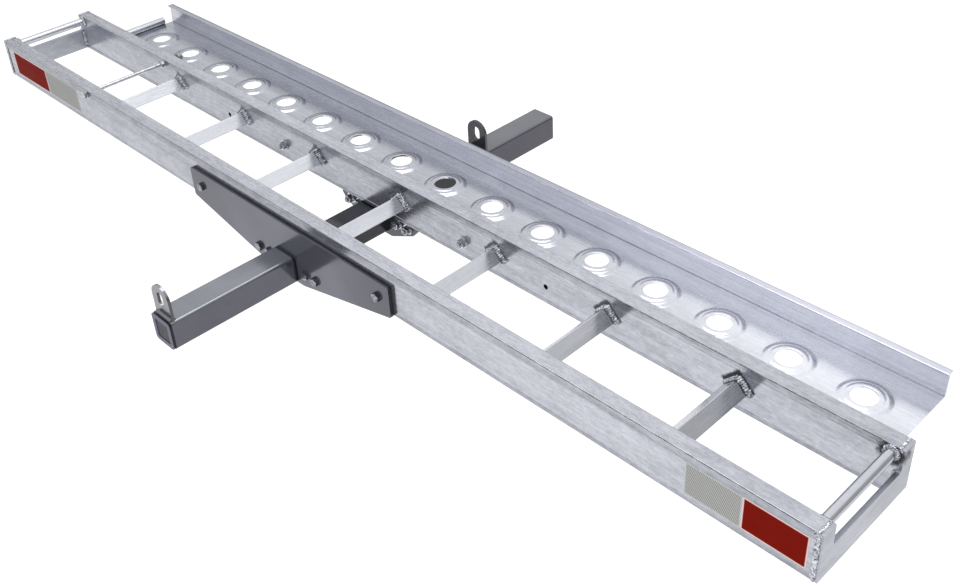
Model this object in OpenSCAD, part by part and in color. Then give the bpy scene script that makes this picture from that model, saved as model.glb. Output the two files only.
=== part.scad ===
// Hitch-mounted motorcycle carrier: an aluminium wheel track on a steel hitch tube, with its loading ramp
// stowed along the vehicle side. +X runs along the track, +Y points to the vehicle and +Z is up.
// The origin is on the hitch tube's axis, at the hitch pin.

/* [Track frame] */
// Length of the track over its two end plates
carrier_length = 1974; // [1700:1:2200]
// Clear width between the two rails, where the wheels stand
track_width = 149.2; // [130:0.1:200]
// Height of a rail
rail_height = 77.8; // [70:0.1:90]
// Width of a rail
rail_width = 25.4; // [22:0.1:32]
// Wall of the rail extrusion
rail_wall = 3.2; // [2.5:0.1:4]
// Corner radius of the rail extrusion
rail_corner = 1.2; // [0.6:0.1:2]
// Depth of the shallow panel in each web
web_recess = 0.6; // [0.4:0.1:0.8]
// Height of the proud band above the panel
top_band = 13; // [10:0.5:15]
// Height of the proud band below the panel
bottom_band = 7; // [5:0.5:10]

/* [End plates] */
// Thickness of an end plate
end_plate_thickness = 6.35; // [5:0.05:8]
// Depth of the wheel notch in an end plate
end_notch_depth = 34.5; // [28:0.5:40]
// Radius of the notch's lower corners
end_notch_radius = 5; // [2:0.5:8]
// Radius of the round bar at each end of the track
end_bar_radius = 7.94; // [6:0.01:9]
// Distance from the track's end to the bar's axis
end_bar_inset = 16; // [15.5:0.5:22]
// Depth of the bar's axis below the top of the rails
end_bar_drop = 12; // [10:0.5:16]

/* [Rungs] */
// Leg of the angle that each rung is cut from
rung_leg = 25.4; // [22:0.1:30]
// Thickness of the angle
rung_thickness = 3.2; // [2.5:0.1:4]
// Depth of a rung's ridge below the top of the rails
rung_drop = 22.5; // [20:0.5:30]
// Number of rungs
rung_count = 7; // [7:1:7]
// Distance from one rung's ridge to the next
rung_pitch = 223.5; // [200:0.5:240]
// Distance from the left end of the track to the first ridge
first_rung = 402; // [370:1:430]

/* [Hitch tube] */
// Outer size of the square tube
tube_size = 50.8; // [50:0.1:52]
// Wall of the tube
tube_wall = 4.8; // [4:0.1:6]
// Outer corner radius of the tube
tube_corner = 5; // [3:0.5:6]
// Length of the tube
tube_length = 856; // [800:1:950]
// Distance from the pin's axis to the tube's open end
pin_to_end = 64; // [55:1:75]
// Distance from the pin's axis to the front rail's outer face
pin_to_front = 552; // [530:1:600]
// Gap between the tube and the rails above it
tube_rail_gap = 2.4; // [1.5:0.1:6]
// Radius of the threaded hole for the hitch pin
pin_radius = 7.94; // [6:0.01:8]
// Length of the nut welded inside the tube
pin_nut_length = 12.7; // [10:0.1:16]
// Size across the flats of that nut
pin_nut_flats = 24; // [22:0.5:28]
// Length of the plastic plug inside the tube's free end
plug_length = 22; // [15:1:30]
// Thickness of the plug's flange, which covers the tube's end
plug_flange = 4; // [2:0.5:6]
// Corner radius of the flange
flange_corner = 7; // [4:0.5:10]
// Wall of the plug
plug_wall = 2.5; // [1.5:0.1:3.5]
// Depth of the panel sunk in the plug's face
plug_panel_depth = 1; // [0.5:0.1:1.5]
// Width of the face around that panel
plug_border = 8; // [5:0.5:12]

/* [Tie loops] */
// Width of a tie-down loop
loop_width = 46; // [40:0.5:48]
// Height of a loop above the tube
loop_height = 56; // [50:0.5:62]
// Thickness of the loop's plate
loop_thickness = 4.8; // [4:0.05:8]
// Width of the slot in a loop
slot_width = 16; // [12:0.5:20]
// Height of the slot
slot_height = 26; // [20:0.5:30]
// Metal above the slot
slot_cover = 12; // [8:0.5:14]
// Distance from the tube's free end to the outer loop
loop_inset = 4.5; // [4:0.5:20]
// Clear distance from the stowed ramp to the inner loop
inner_loop_gap = 70.35; // [55:0.05:90]

/* [Clamp plates] */
// Thickness of the front gusset plate
gusset_thickness = 6.35; // [4:0.05:8]
// Thickness of the rear gusset plate
rear_gusset_thickness = 4.8; // [4:0.1:6]
// Half the length of a gusset plate
gusset_half = 265; // [250:1:290]
// Depth of a gusset's top edge below the top of the rails
gusset_drop = 24; // [22:0.5:30]
// Distance that the front gusset's lower corners stand below the rail
gusset_skirt = 2; // [0:0.5:4]
// Corner radius of the gussets
gusset_corner = 4; // [2:0.5:6]
// Radius of the gussets' notch above the tube
notch_corner = 7; // [3:0.5:9]
// Thickness of the two saddle plates
saddle_thickness = 6.35; // [5:0.05:8]
// Half the width of a saddle
saddle_half = 100; // [95:1:110]
// Metal of the saddle below the tube
saddle_base = 9; // [7:0.5:12]
// Play between the tube and the saddles
tube_play = 0.2; // [0.1:0.05:0.3]
// Play between the tube's sides and the gussets
gusset_play = 1.6; // [1:0.1:3]
// Half the flat bottom edge of a gusset
gusset_foot = 42; // [38:0.5:46]
// Half the flat bottom edge of a saddle
saddle_foot = 31; // [29:0.5:36]
// Half the width of a saddle where its slope ends
saddle_shoulder = 89; // [86:0.5:92]
// Height of that point above the tube's axis
saddle_knee = -8.4; // [-12:0.1:-6]
// Height from that point to the saddle's upright side
saddle_side = 13; // [11:0.5:16]
// Radius of a saddle's outer corners
saddle_corner = 6; // [3:0.5:8]
// Distance of the rear gusset's tab inside the saddle's outline
tab_inset = 3; // [2:0.5:5]

/* [Fasteners] */
// Radius of the bolts that hold the gussets and saddles
bolt_radius = 4.76; // [4:0.01:5]
// Size across the flats of their heads and nuts
bolt_flats = 14.3; // [13:0.1:16]
// Height of their heads
bolt_head = 5.5; // [4:0.1:7]
// Height of their nuts
nut_height = 8; // [6:0.1:9]
// Radius of a washer
washer_radius = 10; // [9:0.1:11]
// Thickness of a washer
washer_thickness = 1.6; // [1:0.1:2.5]
// Bolt end that stands out of a nut
bolt_end = 3; // [2:0.5:5]
// Play of a bolt in its hole
bolt_play = 0.35; // [0.3:0.05:0.45]
// Distance of the outer bolts from the middle of the track
outer_bolt_x = 236.5; // [220:0.5:245]
// Depth of the rear rail's outer bolts below the top of the rails
outer_bolt_drop = 48; // [40:0.5:52]
// Depth of the front rail's outer bolts below the top of the rails
front_bolt_drop = 53; // [40:0.5:58]
// Distance of the inner pair of saddle bolts from the tube's axis
saddle_bolt_x = 50.8; // [45:0.1:54]
// Distance from the inner to the outer saddle bolt
saddle_bolt_step = 25.4; // [22:0.1:28]
// Height of the saddle bolts above the tube's axis
saddle_bolt_rise = 1; // [0:0.5:6]

// Distance of the two spare holes from the middle of the track
spare_hole_x = 413.5; // [400:0.5:430]
// Radius of the spare holes
spare_hole_radius = 4.4; // [3:0.1:5]

/* [Retaining bolt] */
// Distance from the left end of the track to the retaining bolt
long_bolt_x = 350; // [330:1:360]
// Depth of the retaining bolt's axis below the top of the rails
long_bolt_drop = 9; // [8:0.5:10]
// Radius of the retaining bolt
long_bolt_radius = 4; // [3:0.05:4]
// Size across the flats of its head and nuts
long_bolt_flats = 13; // [11:0.1:13]
// Height of its head
long_bolt_head = 5.3; // [4:0.1:6]
// Height of its nuts
long_nut_height = 6.8; // [5:0.1:7]
// Radius of its washers
long_washer_radius = 8; // [7:0.1:8]
// Length of the sleeve between the rear rail and its outer nut
sleeve_length = 7; // [4:0.5:9]
// Radius of that sleeve
sleeve_radius = 6; // [5:0.1:7]

/* [Loading ramp] */
// Clear width inside the ramp
ramp_inner = 149.2; // [140:0.1:160]
// Thickness of the ramp's floor and walls
ramp_wall = 3.2; // [2.5:0.1:4]
// Depth of the ramp's floor below the top of the rails
ramp_floor_drop = 57; // [52:0.5:62]
// Depth of the ramp's top edges below the top of the rails
ramp_lip_drop = 17.8; // [17.6:0.1:19]
// Width of the lip on top of each wall
lip_width = 12.7; // [10:0.1:13]
// Thickness of the lip
lip_thickness = 3.2; // [2.5:0.1:3.5]
// Gap between the stowed ramp's wall and the gusset
ramp_gap = 0.5; // [0.4:0.1:1]
// Distance from the left end of the track to the ramp
ramp_start = 77; // [60:1:90]
// Number of punched holes
hole_count = 16; // [16:1:16]
// Distance from one punched hole to the next
hole_pitch = 114.3; // [100:0.1:116]
// Distance from the ramp's ends to the first and the last hole
hole_margin = 74; // [60:1:90]
// Radius of a punched hole
hole_radius = 19.05; // [15:0.05:20]
// Radius of the flare round a hole
flare_radius = 38.5; // [34:0.5:40]
// Height of the flare above the floor
flare_height = 5; // [3:0.1:6]

/* [Hook rod] */
// Radius of the ramp's hook rod
rod_radius = 7.94; // [6:0.01:8]
// Height of the rod's axis above the ramp's floor, whose end edge it lies against
rod_rise = 7.2; // [5:0.1:7.4]
// Distance from each wall of the ramp to the rod's end
rod_inset = 21.5; // [8:0.5:30]
// Thickness of the weld below the rod
rod_weld = 1.5; // [1:0.1:2]

/* [Reflective tape] */
// Width of the tape
tape_width = 52.5; // [48:0.1:54]
// Thickness of the tape
tape_thickness = 0.3; // [0.2:0.05:0.4]
// Distance from the left end to the red tape
left_tape_start = 35; // [20:1:60]
// Length of the left red tape
left_red_length = 141; // [100:1:160]
// Length of the left white tape
left_white_length = 129; // [100:1:160]
// Distance from the right end to the red tape
right_tape_start = 16; // [10:1:60]
// Length of the right red tape
right_red_length = 88; // [60:1:120]
// Length of the right white tape
right_white_length = 82; // [60:1:120]

/* [Welds] */
// Leg of the weld beads on the rungs
rung_weld = 7; // [3:0.5:8]
// Leg of the weld beads round the end bars
end_weld = 4; // [3:0.5:5]
// Leg of the weld beads in the corners between the rails and the end plates
corner_weld = 6; // [3:0.5:8]
// Leg of the weld beads under the tie loops
loop_weld = 3.5; // [3:0.5:5]
// Height of the low beads over the seams between the rails and the end plates
seam_height = 1.2; // [0.6:0.1:2]
// Distance of a bead's ends from the edges that it runs between
bead_margin = 2; // [1:0.5:4]

/* [Hidden] */
$fn = 48;

// Heights, from the hitch tube up to the rails
tube_half = tube_size / 2;
rail_base = tube_half + tube_rail_gap;
rail_top = rail_base + rail_height;

// Places across the track, from the front rail to the stowed ramp
front_y = -pin_to_front;
track_front = front_y + rail_width;
track_back = track_front + track_width;
back_y = track_back + rail_width;
ramp_y = back_y + rear_gusset_thickness + ramp_gap;
ramp_far_y = ramp_y + ramp_inner + 2 * ramp_wall;
ramp_middle = (ramp_y + ramp_far_y) / 2;

// Places along the track
left_x = -carrier_length / 2;
right_x = carrier_length / 2;
rail_start = left_x + end_plate_thickness;
rail_end = right_x - end_plate_thickness;
long_x = left_x + long_bolt_x;
ramp_left = left_x + ramp_start;
ramp_length = (hole_count - 1) * hole_pitch + 2 * hole_margin;
ramp_floor = rail_top - ramp_floor_drop;
ramp_top = rail_top - ramp_lip_drop;
tube_start = pin_to_end - tube_length;

// Panel of a web, between its two bands
panel_top = rail_top - top_band;
panel_low = rail_base + bottom_band;

// Faces that the washers lie on
inner_seat = track_front - web_recess;
far_seat = track_back + web_recess;
front_nut_y = front_y + saddle_thickness;
rear_nut_y = back_y - saddle_thickness;

// Play of a bolt in its nut, and of the plug in the tube
thread_play = 0.1;
plug_play = 0.15;
bore_corner = 2;
rod_play = 0.03;

outer_loop_y = tube_start + loop_inset;
inner_loop_y = ramp_far_y + (lip_width - ramp_wall) / 2 + inner_loop_gap;
tape_edge = (panel_top - panel_low - tape_width) / 5;
outer_bolt_z = rail_top - outer_bolt_drop;
front_bolt_z = rail_top - front_bolt_drop;
saddle_bolts_x = [for (side = [-1, 1], step = [0, 1]) side * (saddle_bolt_x + step * saddle_bolt_step)];
hole_play = bolt_radius + bolt_play;
long_z = rail_top - long_bolt_drop;
sleeve_end = back_y + sleeve_length;
rod_x = ramp_left - sqrt(pow(rod_radius + rod_play, 2) - pow(rod_rise, 2));
rod_z = ramp_floor + rod_rise;
rod_start = ramp_y + ramp_wall + rod_inset;
rod_end = ramp_far_y - ramp_wall - rod_inset;
rung_x = [for (i = [0 : rung_count - 1]) left_x + first_rung + i * rung_pitch];
rung_ridge = rail_top - rung_drop;

function unit(v) = v / norm(v);

// Points of an arc of radius r that rounds corner b between its neighbours a and c
function rounded(a, b, c, r, n = 5) =
    let (u = unit(a - b), v = unit(c - b), half = acos(u * v) / 2,
         m = b + unit(u + v) * r / sin(half),
         s = b + u * r / tan(half) - m,
         turn = (u[0] * v[1] - u[1] * v[0] > 0 ? -1 : 1) * (180 - 2 * half))
    r == 0 ? [b] : [for (i = [0 : n]) let (t = turn * i / n)
        m + [s[0] * cos(t) - s[1] * sin(t), s[0] * sin(t) + s[1] * cos(t)]];

// Closed outline whose corners are rounded: each entry is [x, y, radius]
function outline(p) = let (n = len(p)) [for (i = [0 : n - 1])
    each rounded([p[(i + n - 1) % n][0], p[(i + n - 1) % n][1]], [p[i][0], p[i][1]],
                 [p[(i + 1) % n][0], p[(i + 1) % n][1]], p[i][2])];

// A profile drawn in the plane across the track, extruded along it
module along_x(from, to) {
    translate([from, 0, 0])
        rotate([90, 0, 90])
            linear_extrude(to - from)
                children();
}

// A profile drawn in the upright plane along the track, extruded across it
module along_y(from, to) {
    translate([0, to, 0])
        rotate([90, 0, 0])
            linear_extrude(to - from)
                children();
}

// A round hole or shaft across the track
module across(x, from, to, z, r) {
    translate([x, from, z])
        rotate([-90, 0, 0])
            cylinder(r = r, h = to - from);
}

// A square with rounded corners, centred
module soft_square(size, r) {
    union() {
        square([size - 2 * r, size], center = true);
        square([size, size - 2 * r], center = true);
        for (x = [-1, 1], y = [-1, 1])
            translate([x * (size / 2 - r), y * (size / 2 - r)])
                circle(r);
    }
}

// Hexagon prism across the track, with two flats level
module hex_across(x, from, to, z, flats) {
    translate([x, from, z])
        rotate([-90, 0, 0])
            cylinder(r = flats / 2 / cos(30), h = to - from, $fn = 6);
}

// Bolt across the track: its head lies on the plane y = seat and its shank runs towards side (1 or -1)
module bolt_across(x, seat, z, side, length, r, flats, head) {
    tip = seat + side * length;
    across(x, min(seat, tip), max(seat, tip), z, r);
    hex_across(x, min(seat, seat - side * head), max(seat, seat - side * head), z, flats);
}

module ring_across(x, from, to, z, outer, inner) {
    difference() {
        across(x, from, to, z, outer);
        across(x, from - 1, to + 1, z, inner);
    }
}

module nut_across(x, from, to, z, flats, bore) {
    difference() {
        hex_across(x, from, to, z, flats);
        across(x, from - 1, to + 1, z, bore);
    }
}

// Section of a rail: a box extrusion with a shallow panel in both webs
module rail_profile() {
    r = rail_corner;
    d = web_recess;
    w = rail_width;
    low = bottom_band;
    high = rail_height - top_band;
    difference() {
        polygon(outline([[0, 0, r], [w, 0, r], [w, low, 0], [w - d, low + d, 0], [w - d, high - d, 0],
                         [w, high, 0], [w, rail_height, r], [0, rail_height, r], [0, high, 0],
                         [d, high - d, 0], [d, low + d, 0], [0, low, 0]]));
        translate([rail_wall, rail_wall])
            square([w - 2 * rail_wall, rail_height - 2 * rail_wall]);
    }
}

module rail(y) {
    along_x(rail_start, rail_end)
        translate([y, rail_base])
            rail_profile();
}

module front_rail() {
    color([0.74, 0.77, 0.8])
        difference() {
            rail(front_y);
            for (side = [-1, 1])
                across(side * outer_bolt_x, front_y - 1, track_front + 1, front_bolt_z, hole_play);
            across(long_x, front_y - 1, track_front + 1, long_z, long_bolt_radius + bolt_play);
        }
}

module rear_rail() {
    color([0.74, 0.77, 0.8])
        difference() {
            rail(track_back);
            for (side = [-1, 1])
                across(side * outer_bolt_x, track_back - 1, back_y + 1, outer_bolt_z, hole_play);
            across(long_x, track_back - 1, back_y + 1, long_z, long_bolt_radius + bolt_play);
            for (side = [-1, 1])
                across(side * spare_hole_x, track_back - 1, back_y + 1, outer_bolt_z, spare_hole_radius);
        }
}

// Plate across an end of the track, notched for the wheel
module end_plate(x) {
    notch = rail_top - end_notch_depth;
    r = end_notch_radius;
    color([0.72, 0.75, 0.78])
        along_x(x, x + end_plate_thickness)
            polygon(outline([[front_y, rail_base, rail_corner], [back_y, rail_base, rail_corner],
                             [back_y, rail_top, rail_corner], [track_back, rail_top, rail_corner],
                             [track_back, notch, r], [track_front, notch, r],
                             [track_front, rail_top, rail_corner], [front_y, rail_top, rail_corner]]));
}

module end_plate_left() {
    end_plate(left_x);
}

module end_plate_right() {
    end_plate(right_x - end_plate_thickness);
}

// Round bar between the rails, which the ramp's hook rod hangs on in use
module end_bar(x) {
    color([0.78, 0.8, 0.83])
        across(x, track_front, track_back, rail_top - end_bar_drop, end_bar_radius);
}

module end_bar_left() {
    end_bar(left_x + end_bar_inset);
}

module end_bar_right() {
    end_bar(right_x - end_bar_inset);
}

// Section of a rung: an angle with its ridge up, each leg sloping at 45 degrees
module rung_profile() {
    rotate(-135)
        polygon(outline([[0, 0, 1], [rung_leg, 0, 0.6], [rung_leg, rung_thickness, 0.8],
                         [rung_thickness, rung_thickness, 2.5], [rung_thickness, rung_leg, 0.8],
                         [0, rung_leg, 0.6]]));
}

module rung(i) {
    color([0.8, 0.82, 0.86])
        along_y(track_front - web_recess, track_back + web_recess)
            translate([rung_x[i], rung_ridge])
                rung_profile();
}

// Section of a weld bead in a square corner: two equal legs and a slightly full face
module bead_profile(leg, side) {
    polygon([for (p = [[0, 0], [1, 0], [0.85, 0.3], [0.58, 0.58], [0.3, 0.85], [0, 1]])
        [side * leg * p[0], leg * p[1]]]);
}

// Beads along both legs of every rung, at both rails
module rung_welds() {
    span = rung_leg - 2 * bead_margin;
    color([0.6, 0.62, 0.66])
        for (x = rung_x, slope = [-1, 1])
            translate([x, 0, rung_ridge])
                rotate([0, slope * 45, 0])
                    translate([slope > 0 ? bead_margin : -bead_margin - span, 0, 0]) {
                        translate([0, track_front - web_recess, 0])
                            along_x(0, span)
                                bead_profile(rung_weld, 1);
                        translate([0, track_back + web_recess, 0])
                            along_x(0, span)
                                bead_profile(rung_weld, -1);
                    }
}

// Ring bead round an end bar, on the web at y
module ring_bead(x, y, side) {
    translate([x, y, rail_top - end_bar_drop])
        rotate([side > 0 ? -90 : 90, 0, 0])
            rotate_extrude()
                translate([end_bar_radius, 0])
                    bead_profile(end_weld, 1);
}

// Low bead over the seam between a rail and its end plate
module seam_profile() {
    half = end_weld * 0.6;
    polygon([[-half, 0], [half, 0], [half * 0.7, seam_height * 0.7], [0, seam_height],
             [-half * 0.7, seam_height * 0.7]]);
}

// Welds at one end of the track: in the inner corners, over the seams and round the bar.
// inward is 1 at the left end and -1 at the right end.
module end_weld_set(seam, inward) {
    low = panel_low + web_recess;
    high = rail_top - end_notch_depth - end_notch_radius;
    bar = seam + inward * (end_bar_inset - end_plate_thickness);
    translate([seam, track_front - web_recess, low])
        linear_extrude(high - low)
            mirror([inward > 0 ? 0 : 1, 0, 0])
                bead_profile(corner_weld, 1);
    translate([seam, track_back + web_recess, low])
        linear_extrude(high - low)
            mirror([inward > 0 ? 0 : 1, 0, 0])
                mirror([0, 1, 0])
                    bead_profile(corner_weld, 1);
    for (y = [front_y, track_back])
        translate([seam, 0, rail_top])
            along_y(y + bead_margin, y + rail_width - bead_margin)
                seam_profile();
    translate([seam, front_y, rail_base + bead_margin])
        linear_extrude(rail_height - 2 * bead_margin)
            mirror([0, 1, 0])
                seam_profile();
    ring_bead(bar, track_front, 1);
    ring_bead(bar, track_back, -1);
}

module end_welds() {
    color([0.6, 0.62, 0.66]) {
        end_weld_set(rail_start, 1);
        end_weld_set(rail_end, -1);
    }
}

// Square tube that goes into the vehicle's receiver, with a threaded pin hole in one side only
module hitch_tube() {
    bore = tube_size - 2 * tube_wall;
    color([0.3, 0.31, 0.34])
        difference() {
            along_y(tube_start, pin_to_end)
                difference() {
                    soft_square(tube_size, tube_corner);
                    soft_square(bore, bore_corner);
                }
            translate([-tube_half - 1, 0, 0])
                rotate([0, 90, 0])
                    cylinder(r = pin_radius, h = tube_wall + 2);
        }
}

// Nut welded inside the tube behind the pin hole
module pin_nut() {
    color([0.4, 0.4, 0.42])
        translate([tube_wall - tube_half, 0, 0])
            rotate([0, 90, 0])
                difference() {
                    cylinder(r = pin_nut_flats / 2 / cos(30), h = pin_nut_length, $fn = 6);
                    translate([0, 0, -1])
                        cylinder(r = pin_radius, h = pin_nut_length + 2);
                }
}

// Plastic plug in the tube's free end: a flange with a sunk panel, and a hollow insert behind it
module tube_plug() {
    size = tube_size - 2 * tube_wall - 2 * plug_play;
    face = tube_start - plug_flange;
    color([0.12, 0.12, 0.13])
        difference() {
            union() {
                along_y(face, tube_start)
                    soft_square(tube_size, flange_corner);
                along_y(tube_start - plug_flange / 2, tube_start + plug_length)
                    soft_square(size, bore_corner);
            }
            along_y(tube_start, tube_start + plug_length + 1)
                soft_square(size - 2 * plug_wall, bore_corner);
            along_y(face - 1, face + plug_panel_depth)
                soft_square(tube_size - 2 * plug_border, bore_corner);
        }
}

// Upright plate on top of the tube, round at the top, with a slot for a strap hook
module tie_loop(y) {
    slot_top = tube_half + loop_height - slot_cover;
    arch = loop_width / 2;
    color([0.3, 0.31, 0.34])
        along_y(y, y + loop_thickness)
            difference() {
                union() {
                    translate([-arch, tube_half])
                        square([loop_width, loop_height - arch]);
                    translate([0, tube_half + loop_height - arch])
                        circle(arch);
                }
                for (z = [slot_top - slot_width / 2, slot_top - slot_height + slot_width / 2])
                    translate([0, z])
                        circle(slot_width / 2);
                translate([-slot_width / 2, slot_top - slot_height + slot_width / 2])
                    square([slot_width, slot_height - slot_width]);
            }
}

module tie_loop_outer() {
    tie_loop(outer_loop_y);
}

module tie_loop_inner() {
    tie_loop(inner_loop_y);
}

// Beads along both feet of each tie loop
module loop_welds() {
    half = tube_half - tube_corner;
    color([0.28, 0.29, 0.31])
        for (y = [outer_loop_y, inner_loop_y])
            translate([0, 0, tube_half]) {
                translate([0, y, 0])
                    along_x(-half, half)
                        bead_profile(loop_weld, -1);
                translate([0, y + loop_thickness, 0])
                    along_x(-half, half)
                        bead_profile(loop_weld, 1);
            }
}

// Outline of the notch that the tube passes through, as the last points of a plate's outline
function gusset_notch() =
    let (side = tube_half + gusset_play, top = tube_half + tube_play, r = gusset_corner / 2)
    [[side, -tube_half, r], [side, top, notch_corner], [-side, top, notch_corner], [-side, -tube_half, r]];

// Long plate on the front rail: its lower edges slope down to the tube
module front_gusset() {
    top = rail_top - gusset_drop;
    low = rail_base - gusset_skirt;
    face = front_y - gusset_thickness;
    r = gusset_corner;
    color([0.42, 0.44, 0.47])
        difference() {
            along_y(face, front_y)
                polygon(outline(concat([[-gusset_foot, -tube_half, r], [-gusset_half, low, r],
                    [-gusset_half, top, r], [gusset_half, top, r], [gusset_half, low, r],
                    [gusset_foot, -tube_half, r]], gusset_notch())));
            for (side = [-1, 1])
                across(side * outer_bolt_x, face - 1, front_y + 1, front_bolt_z, hole_play);
            for (x = saddle_bolts_x)
                across(x, face - 1, front_y + 1, saddle_bolt_rise, hole_play);
        }
}

// Plate on the rear rail, between it and the ramp, with a tab down to the saddle's bolts
module rear_gusset() {
    top = rail_top - gusset_drop;
    tab = saddle_half - tab_inset;
    slope_end = saddle_shoulder - tab_inset;
    tab_low = saddle_knee + saddle_side;
    far = back_y + rear_gusset_thickness;
    r = gusset_corner;
    color([0.42, 0.44, 0.47])
        difference() {
            along_y(back_y, far)
                polygon(outline(concat([[-gusset_foot, -tube_half, r], [-slope_end, saddle_knee, r],
                    [-tab, tab_low, r], [-tab, rail_base, r / 2], [-gusset_half, rail_base, r],
                    [-gusset_half, top, r], [gusset_half, top, r], [gusset_half, rail_base, r],
                    [tab, rail_base, r / 2], [tab, tab_low, r], [slope_end, saddle_knee, r],
                    [gusset_foot, -tube_half, r]], gusset_notch())));
            for (side = [-1, 1])
                across(side * outer_bolt_x, back_y - 1, far + 1, outer_bolt_z, hole_play);
            for (x = saddle_bolts_x)
                across(x, back_y - 1, far + 1, saddle_bolt_rise, hole_play);
        }
}

// Plate under a rail that holds the tube in an open notch
module saddle(y) {
    low = -tube_half - saddle_base;
    side = tube_half + tube_play;
    knee = saddle_knee + saddle_side;
    r = saddle_corner;
    color([0.36, 0.37, 0.4])
        difference() {
            along_y(y, y + saddle_thickness)
                polygon(outline([[-saddle_foot, low, r], [saddle_foot, low, r],
                    [saddle_shoulder, saddle_knee, r], [saddle_half, knee, r],
                    [saddle_half, rail_base, 0], [side, rail_base, 0],
                    [side, -tube_half, r / 2], [-side, -tube_half, r / 2],
                    [-side, rail_base, 0], [-saddle_half, rail_base, 0],
                    [-saddle_half, knee, r], [-saddle_shoulder, saddle_knee, r]]));
            for (x = saddle_bolts_x)
                across(x, y - 1, y + saddle_thickness + 1, saddle_bolt_rise, hole_play);
        }
}

module front_saddle() {
    saddle(front_y);
}

module rear_saddle() {
    saddle(back_y - saddle_thickness);
}

// Bolts through the front gusset and the front rail
module gusset_bolts() {
    length = gusset_thickness + rail_width - web_recess + washer_thickness + nut_height + bolt_end;
    color([0.7, 0.7, 0.68])
        for (side = [-1, 1])
            bolt_across(side * outer_bolt_x, front_y - gusset_thickness, front_bolt_z, 1, length,
                        bolt_radius, bolt_flats, bolt_head);
}

// Bolts through each gusset and its saddle, heads outwards
module saddle_bolts() {
    near = gusset_thickness;
    far = rear_gusset_thickness;
    length = saddle_thickness + washer_thickness + nut_height + bolt_end;
    color([0.7, 0.7, 0.68])
        for (x = saddle_bolts_x) {
            bolt_across(x, front_y - near, saddle_bolt_rise, 1, near + length,
                        bolt_radius, bolt_flats, bolt_head);
            bolt_across(x, back_y + far, saddle_bolt_rise, -1, far + length,
                        bolt_radius, bolt_flats, bolt_head);
        }
}

// Washers under all nuts of the clamp plates and of the ramp's bolts
module clamp_washers() {
    w = washer_thickness;
    color([0.75, 0.75, 0.72]) {
        for (side = [-1, 1]) {
            ring_across(side * outer_bolt_x, inner_seat, inner_seat + w, front_bolt_z,
                        washer_radius, hole_play);
            ring_across(side * outer_bolt_x, far_seat - w, far_seat, outer_bolt_z,
                        washer_radius, hole_play);
        }
        for (x = saddle_bolts_x) {
            ring_across(x, front_nut_y, front_nut_y + w, saddle_bolt_rise, washer_radius, hole_play);
            ring_across(x, rear_nut_y - w, rear_nut_y, saddle_bolt_rise, washer_radius, hole_play);
        }
    }
}

// Nuts of the clamp plates
module clamp_nuts() {
    w = washer_thickness;
    bore = bolt_radius + thread_play;
    color([0.7, 0.7, 0.68]) {
        for (side = [-1, 1])
            nut_across(side * outer_bolt_x, inner_seat + w, inner_seat + w + nut_height, front_bolt_z,
                       bolt_flats, bore);
        for (x = saddle_bolts_x) {
            nut_across(x, front_nut_y + w, front_nut_y + w + nut_height, saddle_bolt_rise, bolt_flats, bore);
            nut_across(x, rear_nut_y - w - nut_height, rear_nut_y - w, saddle_bolt_rise, bolt_flats, bore);
        }
    }
}

// Nuts of the ramp's bolts, on the rear rail's inner web
module ramp_nuts() {
    color([0.7, 0.7, 0.68])
        for (side = [-1, 1])
            nut_across(side * outer_bolt_x, far_seat - washer_thickness - nut_height,
                       far_seat - washer_thickness, outer_bolt_z, bolt_flats, hole_play);
}

// Bolt across the track whose outer nut stands over the stowed ramp's lip, with the washer under its head
module long_bolt() {
    seat = front_y - washer_thickness;
    length = back_y - seat + sleeve_length + washer_thickness + long_nut_height + bolt_end;
    color([0.75, 0.75, 0.73]) {
        bolt_across(long_x, seat, long_z, 1, length, long_bolt_radius, long_bolt_flats, long_bolt_head);
        ring_across(long_x, seat, front_y, long_z, long_washer_radius, long_bolt_radius + thread_play);
    }
}

module long_bolt_washers() {
    w = washer_thickness;
    bore = long_bolt_radius + bolt_play;
    color([0.75, 0.75, 0.73]) {
        ring_across(long_x, track_back - w, track_back, long_z, long_washer_radius, bore);
        ring_across(long_x, sleeve_end, sleeve_end + w, long_z, long_washer_radius, bore);
    }
}

// Sleeve that holds the outer nut off the rear rail, above the ramp's lip
module long_bolt_sleeve() {
    color([0.72, 0.72, 0.7])
        ring_across(long_x, back_y, sleeve_end, long_z, sleeve_radius, long_bolt_radius + bolt_play);
}

module long_bolt_nuts() {
    w = washer_thickness;
    h = long_nut_height;
    bore = long_bolt_radius + bolt_play;
    color([0.7, 0.7, 0.68]) {
        nut_across(long_x, track_back - w - h, track_back - w, long_z, long_bolt_flats, bore);
        nut_across(long_x, sleeve_end + w, sleeve_end + w + h, long_z, long_bolt_flats, bore);
    }
}

// Section of the ramp: a shallow channel with a T-shaped lip on each wall
module ramp_profile() {
    t = ramp_wall;
    a = (lip_width - t) / 2;
    low = ramp_floor - t;
    under = ramp_top - lip_thickness;
    polygon(outline([[ramp_y, low, 2], [ramp_far_y, low, 2],
        [ramp_far_y, under, 0.8], [ramp_far_y + a, under, 0.8], [ramp_far_y + a, ramp_top, 0.8],
        [ramp_far_y - t - a, ramp_top, 0.8], [ramp_far_y - t - a, under, 0.8], [ramp_far_y - t, under, 0.8],
        [ramp_far_y - t, ramp_floor, 1.5], [ramp_y + t, ramp_floor, 1.5],
        [ramp_y + t, under, 0.8], [ramp_y + t + a, under, 0.8], [ramp_y + t + a, ramp_top, 0.8],
        [ramp_y - a, ramp_top, 0.8], [ramp_y - a, under, 0.8], [ramp_y, under, 0.8]]));
}

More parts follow.
